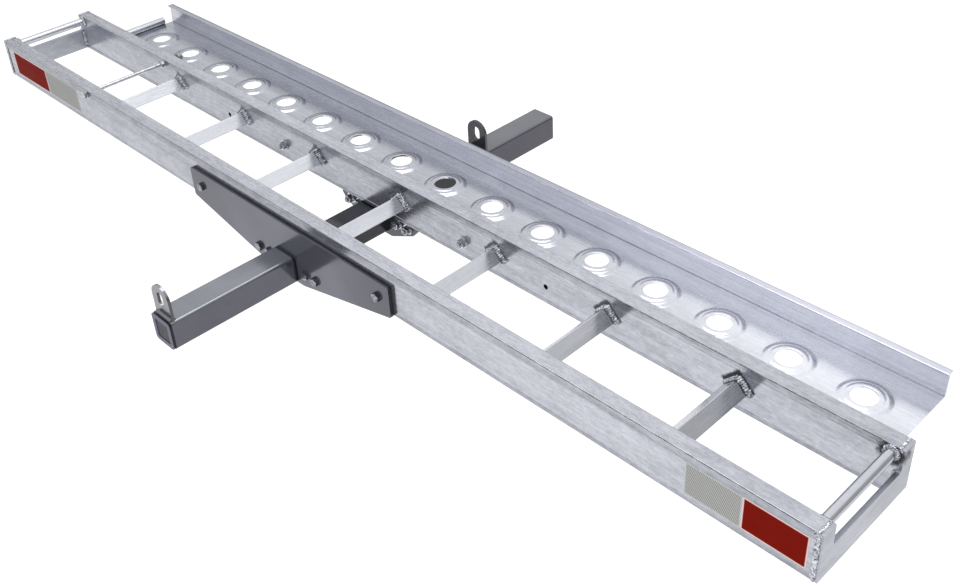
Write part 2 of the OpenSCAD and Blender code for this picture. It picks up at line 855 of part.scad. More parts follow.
// Profile of a flare from its foot to the hole's rim: a rolled step, a gentle slope and a raised rim
function flare_points(shrink, lift) =
    let (r = flare_radius - shrink, inner = hole_radius + 1, h = flare_height)
    [for (p = [[1, 0], [0.93, 0.2], [0.8, 0.3], [0.55, 0.46], [0.28, 0.72], [0.1, 0.94], [0, 1]])
        [inner + (r - inner) * p[0], lift + h * p[1]]];

module flare_top() {
    rotate_extrude()
        polygon(concat([[0, -1], [flare_radius, -1]], flare_points(0, 0), [[0, flare_height]]));
}

module flare_under() {
    t = ramp_wall;
    rotate_extrude()
        polygon(concat([[0, -t - 1], [flare_radius - 1.2, -t - 1]], flare_points(1.2, -t),
                       [[0, flare_height - t]]));
}

// Extruded ramp with punched holes, each in a raised flare
module ramp_channel() {
    color([0.78, 0.8, 0.88])
        difference() {
            union() {
                along_x(ramp_left, ramp_left + ramp_length)
                    ramp_profile();
                at_holes()
                    flare_top();
            }
            at_holes() {
                flare_under();
                translate([0, 0, -ramp_wall - 2])
                    cylinder(r = hole_radius, h = ramp_wall + flare_height + 4);
            }
            for (side = [-1, 1])
                across(side * outer_bolt_x, ramp_y - 1, ramp_y + ramp_wall + 1, outer_bolt_z, hole_play);
        }
}

module at_holes() {
    for (i = [0 : hole_count - 1])
        translate([ramp_left + hole_margin + i * hole_pitch, ramp_middle, ramp_floor])
            children();
}

// Round rod against the ramp's end, which drops over an end bar in use
module ramp_hook_rod() {
    color([0.75, 0.77, 0.8])
        across(rod_x, rod_start, rod_end, rod_z, rod_radius);
}

// Weld under the rod, between it and the end of the ramp's floor
module ramp_rod_weld() {
    under = rod_z - rod_radius - rod_weld;
    color([0.6, 0.62, 0.66])
        difference() {
            along_y(rod_start + bead_margin, rod_end - bead_margin)
                polygon([[ramp_left, under], [ramp_left, ramp_floor], [rod_x, rod_z],
                         [rod_x - rod_radius * 0.6, rod_z - rod_radius * 0.8],
                         [rod_x - rod_radius * 0.4, under]]);
            across(rod_x, rod_start, rod_end, rod_z, rod_radius + rod_play);
        }
}

// Bolts that clamp the stowed ramp to the rear rail, heads inside the ramp
module ramp_bolts() {
    seat = ramp_y + ramp_wall;
    length = seat - far_seat + washer_thickness + nut_height + bolt_end;
    color([0.7, 0.7, 0.68])
        for (side = [-1, 1])
            bolt_across(side * outer_bolt_x, seat, outer_bolt_z, -1, length,
                        bolt_radius, bolt_flats, bolt_head);
}

// Strip of tape on the front rail's panel
module tape(start, length) {
    high = panel_top - tape_edge;
    skin = front_y + web_recess;
    along_y(skin - tape_thickness, skin)
        polygon(outline([[start, high - tape_width, 1], [start + length, high - tape_width, 1],
                         [start + length, high, 1], [start, high, 1]]));
}

module tape_left_red() {
    color([0.55, 0.08, 0.07])
        tape(left_x + left_tape_start, left_red_length);
}

module tape_left_white() {
    color([0.82, 0.84, 0.82])
        tape(left_x + left_tape_start + left_red_length, left_white_length);
}

module tape_right_red() {
    color([0.55, 0.08, 0.07])
        tape(right_x - right_tape_start - right_red_length, right_red_length);
}

module tape_right_white() {
    color([0.82, 0.84, 0.82])
        tape(right_x - right_tape_start - right_red_length - right_white_length, right_white_length);
}

front_rail();
rear_rail();
end_plate_left();
end_plate_right();
end_bar_left();
end_bar_right();
rung(0);  // rung_1
rung(1);  // rung_2
rung(2);  // rung_3
rung(3);  // rung_4
rung(4);  // rung_5
rung(5);  // rung_6
rung(6);  // rung_7
rung_welds();
end_welds();
hitch_tube();
tube_plug();
pin_nut();
tie_loop_outer();
tie_loop_inner();
loop_welds();
front_gusset();
rear_gusset();
front_saddle();
rear_saddle();
gusset_bolts();
saddle_bolts();
clamp_washers();
clamp_nuts();
ramp_nuts();
long_bolt_washers();
long_bolt_nuts();
long_bolt_sleeve();
long_bolt();
ramp_channel();
ramp_hook_rod();
ramp_rod_weld();
ramp_bolts();
tape_left_red();
tape_left_white();
tape_right_red();
tape_right_white();
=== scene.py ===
import math
import random

import bmesh
import bpy
from mathutils import Matrix, Vector


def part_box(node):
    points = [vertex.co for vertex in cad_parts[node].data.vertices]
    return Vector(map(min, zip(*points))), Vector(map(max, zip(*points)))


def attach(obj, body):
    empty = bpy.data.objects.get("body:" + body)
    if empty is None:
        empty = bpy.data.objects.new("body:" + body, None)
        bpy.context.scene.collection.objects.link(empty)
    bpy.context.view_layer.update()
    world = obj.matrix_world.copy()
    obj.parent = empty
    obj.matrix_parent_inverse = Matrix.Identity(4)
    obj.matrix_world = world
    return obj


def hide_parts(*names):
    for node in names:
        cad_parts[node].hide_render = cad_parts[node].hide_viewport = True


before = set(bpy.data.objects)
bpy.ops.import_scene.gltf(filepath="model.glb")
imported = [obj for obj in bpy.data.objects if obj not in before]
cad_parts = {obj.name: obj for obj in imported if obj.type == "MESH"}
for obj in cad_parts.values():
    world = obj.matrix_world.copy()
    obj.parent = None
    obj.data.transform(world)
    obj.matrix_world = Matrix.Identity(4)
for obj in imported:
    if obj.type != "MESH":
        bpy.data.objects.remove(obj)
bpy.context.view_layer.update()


# Studio. The camera stands to the right of the carrier, above it and on the loading side, where the
# photograph's straight edges put it. The carrier hangs half a metre over a white floor, as it does on a
# vehicle, and large lamps and grey cards give its metal something to mirror.
eye = Vector((1.37326, -1.39403, 1.11272))
look_right = Vector((0.70021, 0.712313, -0.048138))
look_down = Vector((0.364053, -0.414241, -0.834188))
look_forward = Vector((-0.614143, 0.566582, -0.549375))
camera_data = bpy.data.cameras.new("camera")
camera_data.sensor_width = 36
camera_data.lens = 44.07
camera_data.shift_x = 0.0005
camera_data.shift_y = -0.0825
camera_data.clip_end = 100
camera = bpy.data.objects.new("camera", camera_data)
camera.matrix_world = Matrix.Translation(eye) @ Matrix(
    (look_right, -look_down, -look_forward)).transposed().to_4x4()
bpy.context.scene.collection.objects.link(camera)
bpy.context.scene.camera = camera
bpy.context.scene.view_settings.view_transform = "Standard"


def add(tree, kind, sockets=None, **settings):
    """A node of that kind. Each socket gets a value, or a link where the value is an output."""
    made = tree.nodes.new(kind)
    for name, value in settings.items():
        setattr(made, name, value)
    for name, value in (sockets or {}).items():
        if isinstance(value, bpy.types.NodeSocket):
            tree.links.new(value, made.inputs[name])
        else:
            made.inputs[name].default_value = value
    return made


def math_of(tree, operation, *values, clamp=False):
    sockets = dict(enumerate(values))
    return add(tree, "ShaderNodeMath", sockets, operation=operation, use_clamp=clamp).outputs[0]


def spread(tree, value, low, high, out_low=0.0, out_high=1.0, curve="SMOOTHSTEP"):
    """value carried from low..high to out_low..out_high, and held at the ends."""
    return add(tree, "ShaderNodeMapRange", {0: value, 1: low, 2: high, 3: out_low, 4: out_high},
               interpolation_type=curve).outputs[0]


def blend_float(tree, share, a, b):
    return add(tree, "ShaderNodeMix", {0: share, 2: a, 3: b}, data_type="FLOAT").outputs[0]


def blend_colour(tree, share, a, b, mode="MIX"):
    return add(tree, "ShaderNodeMix", {0: share, 6: a, 7: b}, data_type="RGBA",
               blend_type=mode).outputs[2]


def shown_white(tree):
    """1 for rays that show the background itself: the camera's, mirrored ones and those through glass."""
    path = add(tree, "ShaderNodeLightPath").outputs
    shown = math_of(tree, "MAXIMUM", path["Is Camera Ray"], path["Is Transmission Ray"])
    return math_of(tree, "MAXIMUM", shown, path["Is Glossy Ray"])


world = bpy.data.worlds.new("studio")
bpy.context.scene.world = world
world.use_nodes = True
sky = world.node_tree
sky.nodes.clear()
diffuse_level = 0.5
level = blend_float(sky, shown_white(sky), diffuse_level, 1.0)
background = add(sky, "ShaderNodeBackground", {0: (1, 1, 1, 1), 1: level})
add(sky, "ShaderNodeOutputWorld", {0: background.outputs[0]})


def softbox(name, place, aim, width, depth, watts, mirrored=True):
    """A rectangular lamp. The metal doesn't mirror it where mirrored is off."""
    lamp = bpy.data.lights.new(name, "AREA")
    lamp.shape = "RECTANGLE"
    lamp.size = width
    lamp.size_y = depth
    lamp.energy = watts
    stand = bpy.data.objects.new(name, lamp)
    place, aim = Vector(place), Vector(aim)
    turn = (place - aim).to_track_quat("Z", "Y").to_matrix().to_4x4()
    stand.matrix_world = Matrix.Translation(place) @ turn
    stand.visible_glossy = mirrored
    bpy.context.scene.collection.objects.link(stand)


softbox("key_light", (1.6, -2.4, 2.6), (0.1, -0.4, 0), 3.6, 2.4, 54, mirrored=False)
softbox("spark_light", (-0.5, 0.1, 2.9), (-0.3, -0.3, 0), 2.4, 1.0, 22)
softbox("top_light", (0.2, 0.4, 3.4), (0, -0.4, 0), 3.6, 3.0, 26, mirrored=False)


def new_material(name):
    """(material, its node tree, its Principled BSDF)"""
    material = bpy.data.materials.new(name)
    material.use_nodes = True
    tree = material.node_tree
    return material, tree, tree.nodes["Principled BSDF"]


def new_object(name, mesh):
    made = bpy.data.objects.new(name, mesh)
    bpy.context.scene.collection.objects.link(made)
    return made


def object_place(tree):
    return add(tree, "ShaderNodeTexCoord").outputs["Object"]


def xyz_of(tree, vector):
    return add(tree, "ShaderNodeSeparateXYZ", {0: vector}).outputs


floor_height, floor_reach = -0.5, 30
floor_glow, mirrored_glow = 0.45, 0.2
bm = bmesh.new()
bmesh.ops.create_grid(bm, x_segments=2, y_segments=2, size=floor_reach)
bmesh.ops.translate(bm, vec=(0, 0, floor_height), verts=bm.verts)
floor_mesh = bpy.data.meshes.new("studio_floor")
bm.to_mesh(floor_mesh)
bm.free()
floor = new_object("studio_floor", floor_mesh)
white_floor, tree, surface = new_material("white_floor")
surface.inputs["Base Color"].default_value = (0.9, 0.9, 0.9, 1)
surface.inputs["Roughness"].default_value = 0.9
surface.inputs["Specular IOR Level"].default_value = 0.1
surface.inputs["Emission Color"].default_value = (1, 1, 1, 1)
mirrored_ray = add(tree, "ShaderNodeLightPath").outputs["Is Glossy Ray"]
glow = math_of(tree, "MULTIPLY", shown_white(tree), floor_glow)
glow = blend_float(tree, mirrored_ray, glow, mirrored_glow)
tree.links.new(glow, surface.inputs["Emission Strength"])
floor_mesh.materials.append(white_floor)


def grey_card(name, line, low, high, dark, light):
    """A card that stands on a line of (x, y) points, dark below and paler towards its top. It darkens what
    the metal mirrors. The camera and the soft light don't see it, and it casts no shadow."""
    mesh = bpy.data.meshes.new(name)
    mesh.from_pydata([(x, y, z) for x, y in line for z in (low, high)], [],
                     [(2 * i, 2 * i + 2, 2 * i + 3, 2 * i + 1) for i in range(len(line) - 1)])
    card = new_object(name, mesh)
    material, tree, surface = new_material(name)
    height = xyz_of(tree, object_place(tree))[2]
    paler_from = low + (high - low) * 0.45
    shade = spread(tree, height, paler_from, high, dark, light)
    surface.inputs["Base Color"].default_value = (0.02, 0.02, 0.02, 1)
    surface.inputs["Roughness"].default_value = 0.9
    surface.inputs["Emission Color"].default_value = (1, 1, 1, 1)
    tree.links.new(shade, surface.inputs["Emission Strength"])
    mesh.materials.append(material)
    card.visible_camera = card.visible_shadow = card.visible_diffuse = False


grey_card("right_card", ((4.4, -0.7), (1.2, 3.2)), floor_height, 3.0, 0.4, 1.0)
grey_card("back_card", ((0.6, 3.2), (-3.8, 2.4), (-4.2, 0.4)), floor_height, 1.25, 0.25, 0.6)
grey_card("camera_card", ((3.4, -1.0), (0.8, -3.2)), 0.7, 2.7, 0.25, 0.5)


# Rails. Two box extrusions of mill aluminium with a shallow panel in both webs, 1.96 m long. The die leaves
# fine lines along them, handling leaves cloudy marks, and the rungs' welds leave soot that also carries
# painted shade. Painted light pales and darkens them along the track, and painted shadow lines run along
# their top edges.
def new_group(name, inputs, outputs):
    """(group, its input node, its output node); inputs are (label, kind, value)."""
    group = bpy.data.node_groups.new(name, "ShaderNodeTree")
    for label, kind, value in inputs:
        socket = group.interface.new_socket(label, in_out="INPUT", socket_type="NodeSocket" + kind)
        if value is not None:
            socket.default_value = value
    for label, kind in outputs:
        group.interface.new_socket(label, in_out="OUTPUT", socket_type="NodeSocket" + kind)
    return group, group.nodes.new("NodeGroupInput").outputs, group.nodes.new("NodeGroupOutput").inputs


def place_group(tree, group, sockets):
    return add(tree, "ShaderNodeGroup", sockets, node_tree=group).outputs


# The die leaves fine lines along an extrusion, and broad bands of them.
die_lines, given, result = new_group(
    "die_lines", [("Place", "Vector", None), ("Along", "Float", 2.0), ("Across", "Float", 400.0)],
    [("Lines", "Float"), ("Bands", "Float")])
stretch = add(die_lines, "ShaderNodeCombineXYZ", {0: given["Along"], 1: given["Across"], 2: given["Across"]})
fine = add(die_lines, "ShaderNodeVectorMath", {0: given["Place"], 1: stretch.outputs[0]},
           operation="MULTIPLY").outputs[0]
noise = add(die_lines, "ShaderNodeTexNoise", {"Vector": fine, "Scale": 1.0, "Detail": 4.0, "Roughness": 0.6})
die_lines.links.new(spread(die_lines, noise.outputs[0], 0.25, 0.75), result["Lines"])
coarser = (0.5, 0.14, 0.14)
wide = add(die_lines, "ShaderNodeVectorMath", {0: fine, 1: coarser}, operation="MULTIPLY").outputs[0]
noise = add(die_lines, "ShaderNodeTexNoise", {"Vector": wide, "Scale": 1.0, "Detail": 2.0})
die_lines.links.new(spread(die_lines, noise.outputs[0], 0.3, 0.7), result["Bands"])

# Handling leaves cloudy marks, a finer grain and small dark specks.
grain_finer, specks_finer = 7.0, 14.0
handling, given, result = new_group(
    "handling", [("Place", "Vector", None), ("Scale", "Float", 20.0)],
    [("Clouds", "Float"), ("Grain", "Float"), ("Specks", "Float")])
noise = add(handling, "ShaderNodeTexNoise", {"Vector": given["Place"], "Scale": given["Scale"], "Detail": 5.0,
                                             "Roughness": 0.62, "Distortion": 0.6})
handling.links.new(spread(handling, noise.outputs[0], 0.32, 0.7), result["Clouds"])
small = math_of(handling, "MULTIPLY", given["Scale"], grain_finer)
noise = add(handling, "ShaderNodeTexNoise", {"Vector": given["Place"], "Scale": small, "Detail": 3.0,
                                             "Roughness": 0.7})
handling.links.new(spread(handling, noise.outputs[0], 0.3, 0.7), result["Grain"])
small = math_of(handling, "MULTIPLY", given["Scale"], specks_finer)
noise = add(handling, "ShaderNodeTexNoise", {"Vector": given["Place"], "Scale": small, "Detail": 2.0})
handling.links.new(spread(handling, noise.outputs[0], 0.68, 0.76), result["Specks"])

rail_low, rail_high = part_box("front_rail")
rear_rail_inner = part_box("rear_rail")[0].y
rung_low, rung_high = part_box("rung_1")
front_web, rear_web = rung_low.y, rung_high.y
rung_count, rung_first = 7, (rung_low.x + rung_high.x) / 2
rung_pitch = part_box("rung_2")[0].x - rung_low.x
rung_ridge, rung_leg, leg_drop = 0.0831, 0.0255, 0.7071
bar_x, bar_height = 0.971, 0.0936
bead_above, bead_below = 0.0062, 0.0045

# Weld soot and painted shade lie round the weld of the nearest rung, most at the rungs on the right, and
# round the end bars, most at the rear right. They stay off the rails' tops, and a noise frays their outline.
soot_ring, given, result = new_group("soot_ring", [("Place", "Vector", None), ("Web", "Float", 0.0)],
                                     [("Soot", "Float")])
place = xyz_of(soot_ring, given["Place"])


def reckon(operation, *values):
    return math_of(soot_ring, operation, *values)


def length_of(tree, *parts):
    vector = add(tree, "ShaderNodeCombineXYZ", dict(enumerate(parts)))
    return add(tree, "ShaderNodeVectorMath", {0: vector.outputs[0]}, operation="LENGTH").outputs["Value"]


near = reckon("ROUND", reckon("DIVIDE", reckon("SUBTRACT", place[0], rung_first), rung_pitch))
near = reckon("MINIMUM", reckon("MAXIMUM", near, 0.0), rung_count - 1.0)
ridge_x = reckon("MULTIPLY_ADD", near, rung_pitch, rung_first)
off_x = reckon("ABSOLUTE", reckon("SUBTRACT", place[0], ridge_x))
drop = reckon("SUBTRACT", rung_ridge, place[2])
off_y = reckon("ABSOLUTE", reckon("SUBTRACT", place[1], given["Web"]))
off_y = reckon("MAXIMUM", reckon("SUBTRACT", off_y, bead_above), 0.0)
from_leg = reckon("MULTIPLY", reckon("SUBTRACT", off_x, drop), leg_drop)
above, below = reckon("SUBTRACT", from_leg, bead_above), reckon("SUBTRACT", -bead_below, from_leg)
beside = reckon("MAXIMUM", above, below)
down_leg = reckon("MULTIPLY", reckon("ADD", off_x, drop), leg_drop)
past_end = reckon("MAXIMUM", reckon("SUBTRACT", down_leg, rung_leg), 0.0)
gap = length_of(soot_ring, reckon("MAXIMUM", beside, 0.0), off_y, past_end)
fraying_noise = add(soot_ring, "ShaderNodeTexNoise", {"Vector": given["Place"], "Scale": 150.0, "Detail": 4.0})
fraying_noise = reckon("SUBTRACT", fraying_noise.outputs[0], 0.5)
gap = reckon("MULTIPLY_ADD", fraying_noise, 0.005, gap)
rightward = reckon("POWER", reckon("DIVIDE", near, rung_count - 1.0), 2.0)
heavy = reckon("MULTIPLY_ADD", rightward, 0.4, 0.55)
reach = reckon("MULTIPLY_ADD", heavy, 0.0042, 0.001)
round_leg = spread(soot_ring, reckon("DIVIDE", gap, reach), 1.0, 0.3)
above_ridge = reckon("ADD", drop, 0.004)
over_ridge = length_of(soot_ring, off_x, above_ridge, off_y)
over_ridge = spread(soot_ring, reckon("MULTIPLY_ADD", fraying_noise, 0.008, over_ridge), 0.0105, 0.005)
rung_soot_and_shade = reckon("MULTIPLY", reckon("MAXIMUM", round_leg, over_ridge), heavy)
to_bar = reckon("SUBTRACT", reckon("ABSOLUTE", place[0]), bar_x)
to_bar = length_of(soot_ring, to_bar, reckon("SUBTRACT", place[2], bar_height), off_y)
to_bar = spread(soot_ring, reckon("MULTIPLY_ADD", fraying_noise, 0.016, to_bar), 0.0225, 0.0125)
rightmost, rearmost = spread(soot_ring, place[0], -0.1, 0.1), spread(soot_ring, place[1], -0.5, -0.4)
rear_right = reckon("MULTIPLY", rightmost, rearmost)
bar_soot_and_shade = reckon("MULTIPLY", to_bar, reckon("MULTIPLY_ADD", rear_right, 0.6, 0.35))
below_top = spread(soot_ring, place[2], rail_high.z - 0.0003, rail_high.z - 0.001)
soot_ring.links.new(reckon("MULTIPLY", reckon("MAXIMUM", rung_soot_and_shade, bar_soot_and_shade), below_top), result["Soot"])

# A painted shadow line runs along a long edge, and its strength wanders.
long_edge, given, result = new_group(
    "long_edge", [("Place", "Vector", None), ("Y", "Float", 0.0), ("Z", "Float", 0.0),
                  ("Width", "Float", 0.0010)], [("Line", "Float")])
place = xyz_of(long_edge, given["Place"])
off = length_of(long_edge, 0.0, math_of(long_edge, "SUBTRACT", place[1], given["Y"]),
                math_of(long_edge, "SUBTRACT", place[2], given["Z"]))
along = math_of(long_edge, "MULTIPLY", place[0], 9.0)
wander = add(long_edge, "ShaderNodeTexNoise", {"W": along, "Detail": 2.0}, noise_dimensions="1D")
edge_line = spread(long_edge, math_of(long_edge, "DIVIDE", off, given["Width"]), 1.0, 0.7)
strength = spread(long_edge, wander.outputs[0], 0.3, 0.6, 0.55, 1.0)
long_edge.links.new(math_of(long_edge, "MULTIPLY", edge_line, strength), result["Line"])


def along_track(tree, x, shifts):
    """A value by place along the track. Shifts are (x in metres, value between -0.5 and 0.5) pairs."""
    curve = add(tree, "ShaderNodeValToRGB", {0: spread(tree, x, -1, 1, curve="LINEAR")})
    stops = curve.color_ramp.elements
    stops[0].position, stops[1].position = (shifts[0][0] + 1) / 2, (shifts[-1][0] + 1) / 2
    for place, value in shifts[1:-1]:
        stops.new((place + 1) / 2)
    for stop, (place, value) in zip(stops, shifts):
        stop.color = (value + 0.5, value + 0.5, value + 0.5, 1)
    return math_of(tree, "SUBTRACT", curve.outputs[0], 0.5)


def facing_of(tree):
    return xyz_of(tree, add(tree, "ShaderNodeNewGeometry").outputs["Normal"])


# Colours of painted shade: weld soot that also carries painted shade, painted shadow lines along edges,
# painted shade on the ramp's lips and beside the webs' panels.
soot_and_shade_black, edge_shadow = (0.012, 0.011, 0.012, 1), (0.03, 0.032, 0.036, 1)
lip_shade, panel_strip_shade = (0.84, 0.84, 0.87, 1), -0.28
drawn_out, marks_scale = (0.4, 1, 1), 40.0


def aluminium(name, dark, light, roughness, metallic, shares, along=2.0, across=380.0, turned=False,
              soot_web=None, edges=(), flat_painted_light=None, upright_painted_light=None, panel=None, lip=None):
    """Mill aluminium whose die lines run along X, or along Y where turned. The shares are those of the lines,
    bands, clouds and grain in its tone. The shifts are painted light: they pale or darken its flat and its
    upright faces by their place along the track. Edges are the (y, z) of painted shadow lines along X. The
    strips beside a web's panel, which lies between two heights, are darker as painted shade, and so is a lip
    whose top is at the height lip."""
    material, tree, surface = new_material(name)
    where = object_place(tree)
    run = where
    if turned:
        quarter = (0, 0, math.radians(90))
        run = add(tree, "ShaderNodeMapping", {"Vector": where, "Rotation": quarter}).outputs[0]
    lines = place_group(tree, die_lines, {"Place": run, "Along": along, "Across": across})
    drawn = add(tree, "ShaderNodeMapping", {"Vector": run, "Scale": drawn_out}).outputs[0]
    marks = place_group(tree, handling, {"Place": drawn, "Scale": marks_scale})
    tone = (1 - sum(shares)) / 2
    for value, share in zip((lines["Lines"], lines["Bands"], marks["Clouds"], marks["Grain"]), shares):
        tone = math_of(tree, "MULTIPLY_ADD", value, share, tone)
    place = xyz_of(tree, where)
    # Painted light: the faces are paled or darkened by their place along the track.
    if flat_painted_light:
        upright = spread(tree, math_of(tree, "ABSOLUTE", facing_of(tree)[1]), 0.6, 0.8)
        painted_light = blend_float(tree, upright, along_track(tree, place[0], flat_painted_light),
                            along_track(tree, place[0], upright_painted_light or flat_painted_light))
        # The strips beside the panel are darkened as painted shade.
        if panel:
            half_high = (panel[1] - panel[0]) / 2
            beside = math_of(tree, "ABSOLUTE", math_of(tree, "SUBTRACT", place[2], panel[0] + half_high))
            beside = spread(tree, beside, half_high - 0.0006, half_high + 0.0004)
            beside = math_of(tree, "MULTIPLY", beside, upright)
            painted_light = math_of(tree, "MULTIPLY_ADD", beside, panel_strip_shade, painted_light)
        tone = math_of(tree, "ADD", tone, painted_light, clamp=True)
    colour = blend_colour(tree, tone, (*dark, 1), (*light, 1))
    speck = (dark[0] * 0.5, dark[1] * 0.5, dark[2] * 0.5, 1)
    colour = blend_colour(tree, math_of(tree, "MULTIPLY", marks["Specks"], 0.25), colour, speck)
    # Painted shadow lines along the edges, stronger towards the right.
    for y, z in edges:
        line = place_group(tree, long_edge, {"Place": where, "Y": y, "Z": z})["Line"]
        line = math_of(tree, "MULTIPLY", line, spread(tree, place[0], -0.5, 0.7, 0.35, 0.9))
        colour = blend_colour(tree, line, colour, edge_shadow)
    # The lip is darkened as painted shade.
    if lip:
        on_lip = spread(tree, place[2], lip - 0.0034, lip - 0.0028)
        colour = blend_colour(tree, on_lip, colour, lip_shade, "MULTIPLY")
    shine = spread(tree, lines["Lines"], 0.0, 1.0, roughness + 0.06, roughness - 0.06, "LINEAR")
    # Weld soot, darkened further round the rungs and bars as painted shade.
    if soot_web is not None:
        sooted_and_shaded = place_group(tree, soot_ring, {"Place": where, "Web": soot_web})["Soot"]
        colour = blend_colour(tree, sooted_and_shaded, colour, soot_and_shade_black)
        shine = blend_float(tree, sooted_and_shaded, shine, 0.7)
        tree.links.new(blend_float(tree, sooted_and_shaded, metallic, 0.1), surface.inputs["Metallic"])
    else:
        surface.inputs["Metallic"].default_value = metallic
    tree.links.new(colour, surface.inputs["Base Color"])
    tree.links.new(shine, surface.inputs["Roughness"])
    bump = add(tree, "ShaderNodeBump", {"Strength": 0.08, "Distance": 0.0004, "Height": lines["Lines"]})
    tree.links.new(bump.outputs[0], surface.inputs["Normal"])
    return material


def dress(material, *nodes):
    """Gives the CAD's own meshes their finish."""
    for name in nodes:
        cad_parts[name].material_slots[0].material = material


rail_edges = ((rail_low.y, rail_high.z), (rear_rail_inner, rail_high.z))
rail_panel = (rail_low.z + 0.007, rail_high.z - 0.013)
# The rails are paled and darkened along the track as painted light.
rail_metal = aluminium("rail_aluminium", (0.26, 0.268, 0.305), (0.66, 0.672, 0.74), 0.2, 0.9,
                       (0.2, 0.2, 0.22, 0.3), soot_web=rear_web, edges=rail_edges, panel=rail_panel,
                       flat_painted_light=((-0.9, -0.2), (-0.5, 0.0), (0.45, 0.18), (0.92, 0.0)),
                       upright_painted_light=((-0.9, 0.12), (0.1, -0.1), (0.5, 0.16), (0.75, 0.14), (0.9, 0.04)))
dress(rail_metal, "front_rail", "rear_rail")


# End plates and bars. A plate of 6.35 mm aluminium is welded across each end of the track and is notched
# for the wheel. A drawn round bar crosses the notch, and the ramp hooks over it when it is in use.
plate_metal = aluminium("plate_aluminium", (0.32, 0.33, 0.37), (0.54, 0.553, 0.615), 0.33, 0.9,
                        (0.12, 0.3, 0.2, 0.25), 12, 160, turned=True, soot_web=rear_web)
bar_metal = aluminium("bar_aluminium", (0.50, 0.515, 0.56), (0.72, 0.735, 0.79), 0.17, 0.95,
                      (0.3, 0.2, 0.2, 0.15), 4, 500, turned=True)
dress(plate_metal, "end_plate_left", "end_plate_right")
dress(bar_metal, "end_bar_left", "end_bar_right")


# Rungs. Seven pieces of extruded aluminium angle stand ridge up between the rails and carry the wheel.
# They are welded to both webs, so soot with painted shade lies at their rear ends.
# Each rung's top is paled or darkened by its place along the track, as painted light.
rung_painted_light = [(rung_first + i * rung_pitch, painted_light) for i, painted_light in enumerate((-0.35, 0.0, 0.35, 0.0))]
rung_metal = aluminium("rung_aluminium", (0.58, 0.595, 0.64), (0.76, 0.78, 0.83), 0.24, 0.92,
                       (0.2, 0.3, 0.2, 0.2), 4, 300, turned=True, soot_web=rear_web,
                       flat_painted_light=rung_painted_light)
dress(rung_metal, *(f"rung_{i + 1}" for i in range(rung_count)))


# Weld beads. Each rung, end plate and end bar is welded to the rails by hand: the beads are rows of small
# overlapping ripples, bright on top, with soot and painted shade beside.
def new_tree(name, inputs):
    """(Geometry Nodes tree, its input node's outputs, its output node's inputs)"""
    tree = bpy.data.node_groups.new(name, "GeometryNodeTree")
    for label, kind in [("Geometry", "Geometry"), *inputs]:
        tree.interface.new_socket(label, in_out="INPUT", socket_type="NodeSocket" + kind)
    tree.interface.new_socket("Geometry", in_out="OUTPUT", socket_type="NodeSocketGeometry")
    return tree, tree.nodes.new("NodeGroupInput").outputs, tree.nodes.new("NodeGroupOutput").inputs


def grow(maker, tree, **values):
    """Runs the tree on the maker's mesh and leaves its result there as a plain mesh."""
    modifier = maker.modifiers.new(tree.name, "NODES")
    modifier.node_group = tree
    for item in tree.interface.items_tree:
        if item.in_out == "INPUT" and item.name.lower().replace(" ", "_") in values:
            modifier[item.identifier] = values[item.name.lower().replace(" ", "_")]
    bpy.context.view_layer.update()
    graph = bpy.context.evaluated_depsgraph_get()
    grown = bpy.data.meshes.new_from_object(maker.evaluated_get(graph))
    maker.modifiers.clear()
    maker.data = grown
    grown.name = maker.name
    return maker


def smooth_from(mesh, degrees):
    for face in mesh.polygons:
        face.use_smooth = True
    mesh.set_sharp_from_angle(angle=math.radians(degrees))


weld_run, given, result = new_tree("weld_run", [("Ripple", "Object"), ("Spacing", "Float"), ("Seed", "Int"),
                                                ("Metal", "Material")])
line = add(weld_run, "GeometryNodeMeshToCurve", {0: given["Geometry"]})
line = add(weld_run, "GeometryNodeResampleCurve", {"Curve": line.outputs[0], "Length": given["Spacing"]},
           mode="LENGTH")
facing = add(weld_run, "GeometryNodeInputNamedAttribute", {0: "facing"}, data_type="FLOAT_VECTOR")
size = add(weld_run, "GeometryNodeInputNamedAttribute", {0: "size"}, data_type="FLOAT_VECTOR")
tangent = add(weld_run, "GeometryNodeInputTangent")
turned = add(weld_run, "FunctionNodeAlignRotationToVector", {"Vector": tangent.outputs[0]}, axis="X")
turned = add(weld_run, "FunctionNodeAlignRotationToVector",
             {"Rotation": turned.outputs[0], "Vector": facing.outputs[0]}, axis="Z", pivot_axis="X")
least, most = (0.82, 0.84, 0.78), (1.14, 1.14, 1.12)
uneven = add(weld_run, "FunctionNodeRandomValue", {0: least, 1: most, "Seed": given["Seed"]},
             data_type="FLOAT_VECTOR")
uneven = add(weld_run, "ShaderNodeVectorMath", {0: uneven.outputs[0], 1: size.outputs[0]},
             operation="MULTIPLY")
ripples = add(weld_run, "GeometryNodeObjectInfo", {0: given["Ripple"]})
rows = add(weld_run, "GeometryNodeInstanceOnPoints",
           {"Points": line.outputs[0], "Instance": ripples.outputs["Geometry"], "Rotation": turned.outputs[0],
            "Scale": uneven.outputs[0]})
rows = add(weld_run, "GeometryNodeRealizeInstances", {0: rows.outputs[0]})
rows = add(weld_run, "GeometryNodeSetMaterial", {"Geometry": rows.outputs[0], "Material": given["Metal"]})
weld_run.links.new(rows.outputs[0], result["Geometry"])

ripple_lean = 0.45
bm = bmesh.new()
bmesh.ops.create_uvsphere(bm, u_segments=14, v_segments=10, radius=0.001)
for v in bm.verts:
    v.co.x += ripple_lean * v.co.z
ripple_mesh = bpy.data.meshes.new("weld_ripple")
bm.to_mesh(ripple_mesh)
bm.free()
smooth_from(ripple_mesh, 180)
ripple = new_object("weld_ripple", ripple_mesh)

